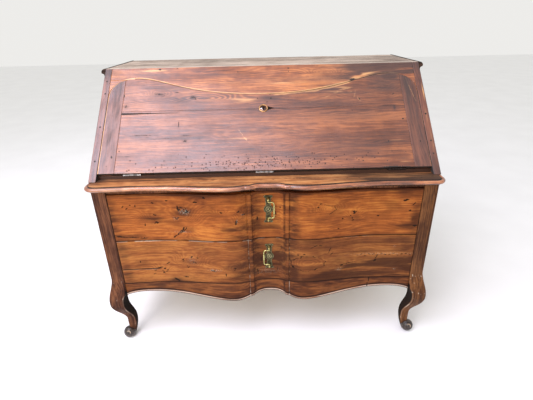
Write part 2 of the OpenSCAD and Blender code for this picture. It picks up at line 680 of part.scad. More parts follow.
// Lock: the case let into the lid, its bolt, and the keep in the rail
module bolt_shape(s0, s1, gap) translate([-bolt_w / 2 - gap, s0, bolt_n - bolt_t / 2 - gap])
  cube([bolt_w + 2 * gap, s1 - s0, bolt_t + 2 * gap]);
module keep_shape() translate([-lock_w / 2, middle_s + lid_gap - 0.5, bolt_n - 5])
  cube([lock_w, 2.5, 10]);
module lock_body() translate([-lock_w / 2, lock_top - lock_len, -lid_t - tiny])
  cube([lock_w, lock_len, lock_t]);
module lock_keep() color(iron) on_slope() difference() {
  keep_shape();
  bolt_shape(middle_s - 2, middle_s + bolt_travel, 0.6);
  translate([-lock_w, middle_s - 1, bolt_n - 6]) cube([2 * lock_w, 1 + lid_gap + 0.2, 12]);
}
module lock_case() color(iron) on_slope() difference() {
  lock_body();
  bolt_shape(lock_top - 40, lock_top + 1, 0.3);
  translate([0, middle_s - key_drop, -lid_t - 1]) cylinder(h = lock_t + 2, r = key_pin_r, $fn = 24);
}
module lock_bolt() color(iron) on_slope() bolt_shape(lock_top - 26, lock_top, 0);

// Lid boards and cleats
module lid_cuts() {
  lock_body();
  bolt_shape(lock_top - 1, middle_s + 1, 0.3);
  translate([0, middle_s - key_drop, -chip_deep]) linear_extrude(2 * chip_deep)
    polygon([[key_hole_r, -chip_h / 2], [chip_end, 0], [key_hole_r, chip_h / 2]]);
  translate([0, middle_s - key_drop, -lid_t - 1]) cylinder(h = lid_t + 2, r = key_hole_r + 2, $fn = 36);
  for (x = [-hinge_x, 0, hinge_x]) {
    leaf_shape(x);
    knuckle(x - hinge_len / 2 - 0.5, hinge_len + 1, knuckle_r + 0.6);
  }
}
module lid_piece(outline) color(lid_brown) on_slope() difference() {
  translate([0, 0, -lid_t]) linear_extrude(lid_t) polygon(outline);
  lid_cuts();
}
module lid_lower_board() lid_piece([[-cleat_x, lid_start], [cleat_x, lid_start], [cleat_x, lid_joint],
  [-cleat_x, lid_joint]]);
module lid_upper_board() lid_piece(concat([[cleat_x, lid_joint], [-cleat_x, lid_joint],
  [-cleat_x, lookup(cleat_x, lid_top)]], [for (p = lid_rim) if (abs(p[0]) < cleat_x) p],
  [[cleat_x, lookup(cleat_x, lid_top)]]));
module cleat(side) {
  edge = concat([[cleat_x, lookup(cleat_x, lid_top)]], [for (p = lid_top) if (p[0] > cleat_x) p],
    [[lid_half, lid_start], [cleat_x, lid_start]]);
  lid_piece(side > 0 ? edge : mirror_x(edge));
}
module keyhole_ring() color(brass) on_slope() translate([0, middle_s - key_drop, -3])
  difference() {
    union() {
      cylinder(h = 5, r = key_hole_r + 2, $fn = 36);
      translate([0, 0, 3]) cylinder(h = 2.2, r = key_ring_r, $fn = 48);
    }
    translate([0, 0, -1]) cylinder(h = 8, r = key_hole_r, $fn = 36);
  }

// Hinges: straps fixed to the writing board carry the pins, leaves fixed to the lid turn on them
third = hinge_len / 3;
knuckle_gap = 0.3;
module leaf_shape(x) translate([x - hinge_len / 2, lid_start - tiny, -lid_t + 1])
  cube([hinge_len, leaf_t, lid_t - 3]);
module strap_shape(x, over = 0) {
  translate([x - hinge_len / 2, notch_s - leaf_t, notch_n - leaf_t])
    cube([hinge_len, leaf_t + over, lid_t + 1 + leaf_t - hinge_deep + 2]);
  translate([x - hinge_len / 2, notch_s - leaf_t, notch_n - leaf_t])
    cube([hinge_len, 15, leaf_t + over]);
}
module knuckle(x, w, r) translate([x, lid_start - hinge_back, -hinge_deep]) rotate([0, 90, 0])
  cylinder(h = w, r = r, $fn = 32);
module hinge_straps() color(iron) on_slope() for (x = [-hinge_x, 0, hinge_x]) {
  difference() {
    union() {
      strap_shape(x);
      knuckle(x - hinge_len / 2, third - knuckle_gap, knuckle_r);
      knuckle(x + hinge_len / 2 - third + knuckle_gap, third - knuckle_gap, knuckle_r);
    }
    translate([x - third / 2 - knuckle_gap, notch_s - leaf_t - 1, notch_n])
      cube([third + 2 * knuckle_gap, leaf_t + 2, lid_t]);
  }
  knuckle(x - hinge_len / 2, hinge_len, pin_r);
}
module lid_hinge_leaves() color(iron) on_slope() for (x = [-hinge_x, 0, hinge_x]) difference() {
  union() {
    leaf_shape(x);
    knuckle(x - third / 2, third, knuckle_r);
  }
  knuckle(x - hinge_len, hinge_len * 2, pin_r + pin_gap);
  for (end = [-1, 1]) knuckle(x + end * third - third / 2 - tiny, third + 2 * tiny, knuckle_r + 0.4);
}

// Long drawers. Each has a serpentine front, two dovetailed sides, a back and a bottom
tail_n = 3;
module tails(x, z, h) for (i = [0:tail_n - 1]) {
  middle = z + h * (i + 0.5) / tail_n;
  root = h / tail_n * 0.24;
  plate_yz(x, box_t, [[box_front + tiny, middle - root], [box_front - tail_len, middle - root * 1.5],
    [box_front - tail_len, middle + root * 1.5], [box_front + tiny, middle + root]]);
}
module drawer_front(z, box_z, box_h, handle_h) color(walnut) difference() {
  outline = concat(front_halves(cut_at(ridged_half, front_line_x)),
    [[front_line_x, front_back], [-front_line_x, front_back]]);
  translate([0, 0, z]) linear_extrude(front_h) polygon(outline);
  tails(box_x - box_t, box_z, box_h);
  tails(-box_x, box_z, box_h);
  translate([-box_x + box_t - groove, front_back - groove, box_z + bottom_up])
    cube([2 * (box_x - box_t + groove), 2 * groove, bottom_t]);
  for (end = [-1, 1]) translate([handle_x, front_back + 1, handle_h + end * post_span / 2])
    rotate([90, 0, 0]) cylinder(h = front_back + bulge_out + 2, r = rod_hole_r, $fn = 24);
}
module drawer_sides(box_z, box_h) color(inner_wood) for (side = [-1, 1]) difference() {
  x = side > 0 ? box_x - box_t : -box_x;
  union() {
    translate([x, box_front, box_z]) cube([box_t, box_len, box_h]);
    tails(x, box_z, box_h);
  }
  translate([side > 0 ? x - 1 : x + box_t - groove, box_front - 1, box_z + bottom_up])
    cube([groove + 1, box_len + 2, bottom_t]);
}
module drawer_back(box_z, box_h) color(inner_wood)
  translate([-box_x + box_t, box_front + box_len - box_t, box_z + bottom_up + bottom_t])
    cube([2 * (box_x - box_t), box_t, box_h - 2 * bottom_up - 2 * bottom_t]);
module drawer_bottom(box_z) color(inner_wood)
  translate([-box_x + box_t - groove, box_front - groove, box_z + bottom_up])
    cube([2 * (box_x - box_t + groove), box_len + groove, bottom_t]);

// Handles: a plate with eared ends, two knobbed posts, and the bail that swings between them
plate_y = front_y(handle_x + plate_w / 2) - plate_t;
pivot_y = plate_y - pivot_out;
nut_y = front_back + nut_t + glue_gap;
upper_handle_h = upper_front_h + front_h / 2 + upper_handle_up;
lower_handle_h = low_front_h + front_h / 2 + lower_handle_up;
module plate_outline() {
  ear_r = plate_w * 0.2;
  waist_r = plate_w * 0.3;
  square([plate_w * 0.56, plate_h - 3 * ear_r], center = true);
  circle(r = plate_w / 2, $fn = 40);
  for (end = [-1, 1]) {
    for (side = [-1, 1]) translate([side * (plate_w / 2 - ear_r), end * (plate_h / 2 - ear_r)])
      circle(r = ear_r, $fn = 24);
    translate([0, end * (plate_h / 2 - waist_r * 0.9)]) circle(r = waist_r * 0.8, $fn = 24);
  }
}
// Half section of a handle post, from the plate out to its tip
post_shape = [[0, 0], [post_r * 0.9, 0], [post_r, pivot_out * 0.25], [post_r * 0.93, pivot_out * 0.5],
  [post_r * 0.76, pivot_out * 0.75], [post_r * 0.68, pivot_out], [post_r * 0.66, pivot_out * 1.25],
  [post_r * 0.5, pivot_out * 1.42], [post_r * 0.2, pivot_out * 1.5], [0, pivot_out * 1.5]];
module handle_plate(h) color(old_brass) translate([handle_x, 0, h]) difference() {
  union() {
    translate([0, plate_y + plate_t, 0]) rotate([90, 0, 0]) linear_extrude(plate_t) plate_outline();
    translate([0, plate_y + tiny, 0]) rotate([90, 0, 0]) cylinder(h = 2.5, r = 9, $fn = 36);
    for (end = [-1, 1]) translate([0, 0, end * post_span / 2]) {
      translate([0, plate_y + tiny, 0]) rotate([90, 0, 0]) rotate_extrude($fn = 32) polygon(post_shape);
      translate([0, nut_y + 1, 0]) rotate([90, 0, 0]) cylinder(h = nut_y - plate_y, r = rod_r, $fn = 24);
      translate([0, nut_y, 0]) rotate([90, 0, 0]) cylinder(h = nut_t, r = nut_r, $fn = 32);
    }
  }
  translate([0, pivot_y, -post_span / 2 - 2]) cylinder(h = post_span + 4, r = bail_pin_r + pin_gap, $fn = 24);
}
module bail(h, side) {
  arm_z = post_span / 2 - post_r - bail_r - 0.5;
  bend_r = 7;
  color(brass) translate([handle_x, pivot_y, h]) mirror([side < 0 ? 1 : 0, 0, 0]) {
    for (end = [0, 1]) mirror([0, 0, end]) {
      translate([0, 0, arm_z]) cylinder(h = post_r + bail_r + 1.5, r = bail_pin_r, $fn = 24);
      translate([0, 0, arm_z]) sphere(bail_r, $fn = 24);
      translate([0, 0, arm_z]) rotate([0, 90, 0]) cylinder(h = bail_reach - bend_r, r = bail_r, $fn = 24);
      translate([bail_reach - bend_r, 0, arm_z - bend_r]) rotate([90, 0, 0])
        rotate_extrude(angle = 90, $fn = 48) translate([bend_r, 0]) circle(r = bail_r, $fn = 24);
    }
    translate([bail_reach, 0, -arm_z + bend_r]) cylinder(h = 2 * (arm_z - bend_r), r = bail_r, $fn = 24);
    for (z = [-9, 0, 9]) translate([bail_reach, 0, z]) sphere(bail_bead_r, $fn = 24);
  }
}

// Small drawers under the pigeonholes, and their turned knobs
module small_drawer(side) color(inner_wood) {
  x = side > 0 ? small_x : -small_x - small_w;
  depth = gallery_back - gallery_y - 6;
  inner_w = small_w - 2 * small_t - 2 * glue_gap;
  back_y = depth - small_t;
  side_y = small_front_t + glue_gap;
  translate([x, gallery_y, board_top + slide_gap]) {
    cube([small_w, small_front_t, small_h]);
    for (w = [0, small_w - small_t]) translate([w, side_y, 0]) cube([small_t, depth - side_y, small_h - 8]);
    translate([small_t + glue_gap, side_y, 0]) cube([inner_w, depth - side_y, small_t]);
    translate([small_t + glue_gap, back_y, small_t + glue_gap]) cube([inner_w, small_t, small_h - 18]);
  }
}
module small_knob(side) color(brass)
  translate([side * (small_x + small_w / 2), gallery_y, board_top + slide_gap + small_h / 2])
    rotate([90, 0, 0]) rotate_extrude($fn = 40) polygon(concat([[0, 0], [knob_r * 0.7, 0], [knob_r * 0.6, 2],
      [knob_r * 0.4, 4], [knob_r * 0.4, 6]],
      [for (a = [-50:20:70]) [knob_r * cos(a), 6 + knob_r * 0.75 + knob_r * 0.75 * sin(a)]],
      [[0, 6 + knob_r * 1.5]]));

module in_place() translate([0, -mid_y, 0]) children();

in_place() leg(-1, true);  // front_left_leg
in_place() leg(1, true);  // front_right_leg
in_place() leg(-1, false);  // back_left_leg
in_place() leg(1, false);  // back_right_leg
in_place() lower_side(-1);  // left_lower_side
in_place() lower_side(1);  // right_lower_side
in_place() upper_side(-1);  // left_upper_side
in_place() upper_side(1);  // right_upper_side
in_place() stile(-1);  // left_stile
in_place() stile(1);  // right_stile
in_place() top_board();
in_place() top_moulding(-1);  // left_top_moulding
in_place() top_moulding(1);  // right_top_moulding
in_place() top_rail();
in_place() corner_block(-1);  // left_corner_block
in_place() corner_block(1);  // right_corner_block
in_place() lid_stops();
in_place() upper_back_boards();
in_place() lower_back_boards();
in_place() front_ledge();
in_place() side_ledge(-1);  // left_ledge
in_place() side_ledge(1);  // right_ledge
in_place() back_ledge();
in_place() ledge_bead();
in_place() writing_board();
in_place() apron();
in_place() back_bottom_rail();
in_place() upper_front_rail();
in_place() drawer_divider();
in_place() drawer_runners();
in_place() drawer_guides();
in_place() gallery_uprights();
in_place() gallery_shelves();
in_place() lock_keep();
in_place() stile_pegs();
in_place() hinge_straps();
in_place() lid_upper_board();
in_place() lid_lower_board();
in_place() cleat(-1);  // left_cleat
in_place() cleat(1);  // right_cleat
in_place() lock_case();
in_place() keyhole_ring();
in_place() lid_hinge_leaves();
in_place() lock_bolt();
in_place()  // upper_drawer_front
  drawer_front(upper_front_h, high_box_z, high_box_h, upper_handle_h);
in_place() drawer_sides(high_box_z, high_box_h);  // upper_drawer_sides
in_place() drawer_back(high_box_z, high_box_h);  // upper_drawer_back
in_place() drawer_bottom(high_box_z);  // upper_drawer_bottom
in_place() handle_plate(upper_handle_h);  // upper_handle_plate
in_place() bail(upper_handle_h, 1);  // upper_bail
in_place()  // lower_drawer_front
  drawer_front(low_front_h, low_box_z, low_box_h, lower_handle_h);
in_place() drawer_sides(low_box_z, low_box_h);  // lower_drawer_sides
in_place() drawer_back(low_box_z, low_box_h);  // lower_drawer_back
in_place() drawer_bottom(low_box_z);  // lower_drawer_bottom
in_place() handle_plate(lower_handle_h);  // lower_handle_plate
in_place() bail(lower_handle_h, -1);  // lower_bail
in_place() small_drawer(-1);  // left_small_drawer
in_place() small_knob(-1);  // left_knob
in_place() small_drawer(1);  // right_small_drawer
in_place() small_knob(1);  // right_knob
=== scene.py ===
"""The looks of a slant-front walnut desk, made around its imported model.

Lengths are in millimetres, in the model's own frame: X to the right, Y to the back, Z up from the floor.
Only Blender's own meshes, nodes, lamps and camera are in metres. On the slope, s is measured up it from
the ledge and n out of it. On every board, t runs along the board, v across it and d out of its face.
"""
import json
import math

import bpy
import numpy as np
from mathutils import Matrix, Vector


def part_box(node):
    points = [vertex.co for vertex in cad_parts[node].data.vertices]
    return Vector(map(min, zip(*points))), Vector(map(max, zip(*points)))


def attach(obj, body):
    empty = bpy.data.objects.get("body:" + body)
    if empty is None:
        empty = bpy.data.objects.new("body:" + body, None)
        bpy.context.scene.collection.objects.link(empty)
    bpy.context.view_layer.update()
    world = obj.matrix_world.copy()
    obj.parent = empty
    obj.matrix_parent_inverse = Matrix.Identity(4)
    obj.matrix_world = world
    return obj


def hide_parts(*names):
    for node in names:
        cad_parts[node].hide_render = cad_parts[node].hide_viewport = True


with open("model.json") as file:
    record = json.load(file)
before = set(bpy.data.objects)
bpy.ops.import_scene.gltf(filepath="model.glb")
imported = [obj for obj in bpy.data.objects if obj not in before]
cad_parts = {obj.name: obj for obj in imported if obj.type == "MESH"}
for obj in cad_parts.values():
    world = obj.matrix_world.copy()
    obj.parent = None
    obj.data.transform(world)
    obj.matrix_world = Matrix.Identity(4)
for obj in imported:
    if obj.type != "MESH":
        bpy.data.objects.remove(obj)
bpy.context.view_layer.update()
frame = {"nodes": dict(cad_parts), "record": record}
MM = 0.001
X, Y, Z = 0, 1, 2
SIDES = ((-1, "left"), (1, "right"))


def lowest(node):
    """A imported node's lowest corner at rest."""
    return [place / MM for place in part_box(node)[0]]


def highest(node):
    """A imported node's highest corner at rest."""
    return [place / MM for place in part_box(node)[1]]


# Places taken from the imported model
FRONT = lowest("left_stile")[Y]
LEDGE = lowest("left_stile")[Z]
TOP = highest("top_board")[Z]
HALF = highest("top_board")[X]
BACK = highest("top_board")[Y]
LEDGE_LOW = lowest("front_ledge")[Z]
PLANK_X = highest("front_ledge")[X]
LID_X = highest("right_cleat")[X]
CLEAT_X = lowest("right_cleat")[X]
INNER_X = lowest("right_stile")[X]
DRAWER_X = highest("upper_drawer_front")[X]
BAY_X = highest("apron")[X]
UPPER_Z = (lowest("upper_drawer_front")[Z], highest("upper_drawer_front")[Z])
LOWER_Z = (lowest("lower_drawer_front")[Z], highest("lower_drawer_front")[Z])
APRON_TOP = highest("apron")[Z]
LEG_TOP = highest("front_left_leg")[Z]
RISER_Y = lowest("writing_board")[Y]
LOCK_X = highest("lock_case")[X]
BOLT_X = highest("lock_bolt")[X]
UPPER_BAIL_Z = (lowest("upper_bail")[Z] + highest("upper_bail")[Z]) / 2
LOWER_BAIL_Z = (lowest("lower_bail")[Z] + highest("lower_bail")[Z]) / 2

# The slope: how far it runs back, its boards' thickness, and the places up it
SLANT_RUN = 338
SLANT = math.atan2(TOP - LEDGE, SLANT_RUN)
SLOPE_LEN = math.hypot(SLANT_RUN, TOP - LEDGE)
RAIL_T = 18
LID_T = 17.7
LID_START = 31.96
LID_GAP = 1.5
PEAK_S = SLOPE_LEN - 49
MIDDLE_S = PEAK_S - 81
JOINT_S = MIDDLE_S - 63
PEAK_X = LID_X - 104
SIDE_S = PEAK_S - 87
BLOCK_S = PEAK_S - 4
KEY_S = MIDDLE_S - 62
SLOPE_OUT = Vector((0, -math.sin(SLANT), math.cos(SLANT)))
SLOPE_UP = Vector((0, math.cos(SLANT), math.sin(SLANT)))

# The serpentine front, whose middle sits a little to the right of the desk's
MIDDLE_X = 11
MIDDLE_IN = 7
BULGE_X = 133
BULGE_OUT = 18
HOLLOW_X = 400
HOLLOW_IN = 5
RIDGE_X = 58
RIDGE_W = 16
RIDGE_END = RIDGE_X + RIDGE_W
RIDGE_OUT = 3


def bezier(points, steps=40):
    """Points along a cubic curve: four points weighted by the cubic Bernstein polynomials."""
    t = np.linspace(0, 1, steps)[:, None]
    p = np.asarray(points, float)
    return (1 - t) ** 3 * p[0] + 3 * (1 - t) ** 2 * t * p[1] + 3 * (1 - t) * t * t * p[2] + t ** 3 * p[3]


def unit(x):
    """x, held between 0 and 1."""
    return np.clip(x, 0, 1)


def smooth(x):
    """Runs from 0 to 1 as x does, level at both ends: 3 x squared less 2 x cubed."""
    x = unit(x)
    return x * x * (3 - 2 * x)


def rise(x, start, length):
    """Climbs smoothly from 0 at the start to 1 a length further on."""
    return smooth((x - start) / length)


def fall(x, end, length):
    """Drops smoothly from 1, a length before the end, to 0 at the end."""
    return smooth((end - x) / length)


def hump(x, width):
    """A bell: e to the power of minus the square of x over width."""
    return np.exp(-(x / width) ** 2)


def ripple(a, b, size_a, size_b, seed, waves=14):
    """Gentle unevenness of about -1 to 1: a sum of sine waves with lengths round size_a and size_b."""
    draw = np.random.default_rng(seed)
    total = 0
    for _ in range(waves):
        fa, fb = draw.normal(0, 1, 2)
        total = total + np.sin(2 * np.pi * (fa * a / size_a + fb * b / size_b) + draw.uniform(0, 2 * np.pi))
    return total / math.sqrt(waves)


# Plan of the front, from the middle to the post, as depth behind the post fronts
PLAN = np.vstack([
    [[0, MIDDLE_IN]],
    bezier([[18, MIDDLE_IN], [40, MIDDLE_IN], [48, 1.05], [RIDGE_X, -4.95]]),
    bezier([[RIDGE_END, -6.93], [88, -11.93], [110, -BULGE_OUT], [BULGE_X, -BULGE_OUT]]),
    bezier([[BULGE_X, -BULGE_OUT], [200, -BULGE_OUT], [299, HOLLOW_IN], [HOLLOW_X, HOLLOW_IN]]),
    bezier([[HOLLOW_X, HOLLOW_IN], [460, HOLLOW_IN], [521, 1], [BAY_X, 0]]),
])

# The lid's top edge on the slope, from the middle over the swoop and round the upper corner
CORNER_W = LID_X - PEAK_X
CORNER_H = PEAK_S - SIDE_S
CORNER_PULL = 0.68
SWOOP = bezier([[0, MIDDLE_S], [PEAK_X * 0.6, MIDDLE_S], [PEAK_X * 0.81, PEAK_S], [PEAK_X, PEAK_S]])
CORNER = bezier([[PEAK_X, PEAK_S], [PEAK_X + CORNER_W * CORNER_PULL, PEAK_S],
                 [LID_X, SIDE_S + CORNER_H * CORNER_PULL], [LID_X, SIDE_S]])
LID_LINE = np.vstack([SWOOP, CORNER])


def off_middle(x):
    """Distance from the middle of the serpentine at place x: the middle is moved right, the ends stay."""
    lean = MIDDLE_X / BAY_X
    inside = np.where(x > MIDDLE_X, (x - MIDDLE_X) / (1 - lean), (MIDDLE_X - x) / (1 + lean))
    return np.where(np.abs(x) >= BAY_X, np.abs(x), inside)


def place_of(side, away):
    """Where the point on one side, at a distance from the serpentine's middle, stands: off_middle undone."""
    return side * away + MIDDLE_X * max(0.0, 1 - away / BAY_X)


def front_line(x):
    """Depth of the plain serpentine front behind the post fronts."""
    return np.interp(off_middle(x), PLAN[:, 0], PLAN[:, 1])


def ridge(x):
    """The two ridges: each a strip with a rounded crown between two narrow grooves."""
    q = off_middle(x)
    share = (q - RIDGE_X) / RIDGE_W
    crown = smooth(share / 0.14) * smooth((1 - share) / 0.14) * RIDGE_OUT
    return crown - 1.2 * (hump(q - RIDGE_X + 1.5, 1.3) + hump(q - RIDGE_END - 1.5, 1.3))


# The places across the front where a ridge needs a line of points
RIDGE_LINES = [place_of(side, edge + k)
               for side, _ in SIDES for edge in (RIDGE_X, RIDGE_END) for k in range(-3, 4)]


def lid_edge(x):
    """Height on the slope of the lid's serpentine top edge."""
    return np.interp(np.abs(x), LID_LINE[:, 0], LID_LINE[:, 1])


def lid_side(s):
    """Distance from the middle of the lid's outer edge: upright, then the round corner."""
    return np.interp(s, CORNER[::-1, 1], CORNER[::-1, 0])


def on_slope(t, v, d):
    """Lays a board on the slope: t across the desk, v up the slope and d out of it."""
    return np.stack([t, FRONT + v * math.cos(SLANT) - d * math.sin(SLANT),
                     LEDGE + v * math.sin(SLANT) + d * math.cos(SLANT)], -1)


def up_slope(side, shear=0.0):
    """For a board that runs up the slope: t is the height on it, v the distance from the middle."""
    def lay(t, v, d):
        return on_slope(side * v, t - shear * d, d)
    return lay


def upright(t, v, d):
    """Stands a board up: t across the desk, v the height and d out of the post fronts."""
    return np.stack([t, FRONT - d, v], -1)


def flat(base):
    """For a board that lies level: v is the depth behind the post fronts and d the height over base."""
    def lay(t, v, d):
        return np.stack([t, FRONT + v, base + d], -1)
    return lay


def slope_point(x, s, n=0.0):
    """The point at x, s up the slope and n out of it."""
    return np.array([x, FRONT, LEDGE]) + s * np.array(SLOPE_UP) + n * np.array(SLOPE_OUT)


def stations(start, end, step, extra=()):
    """Even steps from start to end, with the extra places added."""
    even = np.linspace(start, end, max(2, int(math.ceil((end - start) / step)) + 1))
    extra = np.array([e for e in extra if start < e < end])
    return np.unique(np.round(np.concatenate([even, extra]), 3))


def constant(value):
    """The same value at every place along a board."""
    return lambda t: value + 0 * t


def level(value):
    """The same value all over a board's face."""
    return lambda t, v: value + 0 * v


def make_mesh(name, points, faces, body, material, marks=None, replaces=()):
    """Puts points and faces into a mesh, turns its faces outwards, and rides it on its body."""
    points = points.reshape(-1, 3) * MM
    mesh = bpy.data.meshes.new(name)
    mesh.from_pydata(points, [], faces)
    mesh.calc_loop_triangles()
    tri = np.zeros(len(mesh.loop_triangles) * 3, np.int32)
    mesh.loop_triangles.foreach_get("vertices", tri)
    corner = points[tri.reshape(-1, 3)]
    volume = np.einsum("ij,ij->i", corner[:, 0], np.cross(corner[:, 1], corner[:, 2])).sum()
    if volume < 0:
        mesh.flip_normals()
    mesh.polygons.foreach_set("use_smooth", np.ones(len(mesh.polygons), bool))
    for key, values in (marks or {}).items():
        layer = mesh.attributes.new(key, "FLOAT", "POINT")
        layer.data.foreach_set("value", np.asarray(values, np.float32).ravel())
    mesh.materials.append(material)
    piece = bpy.data.objects.new(name, mesh)
    bpy.context.scene.collection.objects.link(piece)
    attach(piece, body)
    if replaces:
        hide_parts(*replaces)
    return piece


def ring_faces(rings, around, closed_path=False):
    """Quads between neighbouring rings of points, each ring closed on itself."""
    last = rings if closed_path else rings - 1
    i, j = np.meshgrid(np.arange(last), np.arange(around), indexing="ij")
    k, m = (i + 1) % rings, (j + 1) % around
    quads = np.stack([i * around + j, i * around + m, k * around + m, k * around + j], -1)
    return quads.reshape(-1, 4).tolist()


def loft(name, rings, body, material, marks=None, replaces=(), closed_path=False):
    """A skin through rings of points, closed at each end by a fan round the ring's middle."""
    count, around = rings.shape[:2]
    points = rings.reshape(-1, 3)
    faces = ring_faces(count, around, closed_path)
    marks = {k: np.asarray(v, float).ravel() for k, v in (marks or {}).items()}
    if not closed_path:
        points = np.vstack([points, rings[0].mean(0), rings[-1].mean(0)])
        first, last = count * around, count * around + 1
        end = (count - 1) * around
        faces += [[first, (j + 1) % around, j] for j in range(around)]
        faces += [[last, end + j, end + (j + 1) % around] for j in range(around)]
        marks = {k: np.append(v, [v[:around].mean(), v[-around:].mean()]) for k, v in marks.items()}
    return make_mesh(name, points, faces, body, material, marks, replaces)


# A board's rounded corner in angles, its least width, and how far the dirt of its edges reaches
CORNER_TURN = np.radians([0, 22.5, 45, 67.5])
NARROWEST = 0.2
DIRT_REACH = 5


def board(name, body, material, slot, t, low, high, front, back, lay, replaces=(),
          edge_r=2.5, rows=3, extra_rows=(), marks=None, grime=(1, 1, 1, 1)):
    """A board with worn edges.

    Its section is a rectangle from low(t) to high(t) across and from back(t) to front(t, v) deep, with
    quarter-round front corners. The section is carried along t and is drawn in along a quarter circle at
    each end. lay(t, v, d) puts the points in place, marks(t, v) gives the pattern's fields on the face, and
    grime is the dirt along its low, high, first and last edge. The inner side bears none of them.
    """
    inset = edge_r * (1 - np.sin(CORNER_TURN))
    inward = edge_r * (1 - np.cos(CORNER_TURN))
    start, end = t[0], t[-1]
    t = np.concatenate([start + inward, t[(t > start + edge_r) & (t < end - edge_r)], end - inward[::-1]])
    inset = np.concatenate([inset, np.zeros(len(t) - 2 * len(inset)), inset[::-1]])[:, None]
    t = t[:, None]
    width = np.maximum(high(t) - low(t), NARROWEST)
    middle = (high(t) + low(t)) / 2
    inset = np.minimum(inset, width * 0.45)
    lo = middle - width / 2 + inset
    hi = middle + width / 2 - inset
    r = np.minimum(edge_r, (hi - lo) * 0.45)
    count = max(2, int(np.ceil((hi - lo).max() / rows)))
    share = np.linspace(0, 1, count + 1)
    span = float((hi - lo - 2 * r).max())
    base = float(lo.min() + r.max())
    share = np.unique(np.round(np.concatenate([share, [(e - base) / span for e in extra_rows]]), 5))
    share = share[(share >= 0) & (share <= 1)][None, :]
    v = lo + r + share * (hi - lo - 2 * r)
    d = front(t, v) - inset
    back_d = back(t) + inset * 0.5 + 0 * t
    arc = (math.pi / 2 - CORNER_TURN[::-1])[None, :]
    v_all = np.concatenate([v, hi - r + r * np.sin(arc), hi + 0 * t, hi - r * 0.3, lo + r * 0.3, lo + 0 * t,
                            lo + r - r * np.sin(arc[:, ::-1])], 1)
    d_all = np.concatenate([d, d[:, -1:] - r + r * np.cos(arc), back_d + r * 0.3, back_d, back_d,
                            back_d + r * 0.3, d[:, :1] - r + r * np.cos(arc[:, ::-1])], 1)
    t_all = t + 0 * v_all
    away = [v_all - lo, hi - v_all, t_all - start, end - t_all]
    fields = {"edge": np.max([w * np.exp(-np.maximum(a, 0) / DIRT_REACH) for w, a in zip(grime, away)], 0)}
    if marks:
        fields.update(marks(t_all, v_all))
    inner = v.shape[1] + arc.shape[1] + 1
    column = np.arange(v_all.shape[1])[None, :]
    inner_side = (column == inner) | (column == inner + 1)
    fields = {key: np.where(inner_side, 0, value) for key, value in fields.items()}
    return loft(name, lay(t_all, v_all, d_all), body, material, fields, replaces)


def lathe(name, profile, centre, axis, body, material, replaces=(), around=40):
    """A turned piece: the profile's (distance from the axis, height along it) turned round the axis."""
    profile = np.asarray(profile, float)[:, :, None, None]
    angle = np.linspace(0, 2 * np.pi, around, endpoint=False)[None, :, None]
    axis = Vector(axis).normalized()
    side = axis.orthogonal().normalized()
    spoke = np.cos(angle) * np.array(side) + np.sin(angle) * np.array(axis.cross(side))
    rings = np.array(centre) + profile[:, 0] * spoke + profile[:, 1] * np.array(axis)
    return loft(name, rings, body, material, None, replaces)


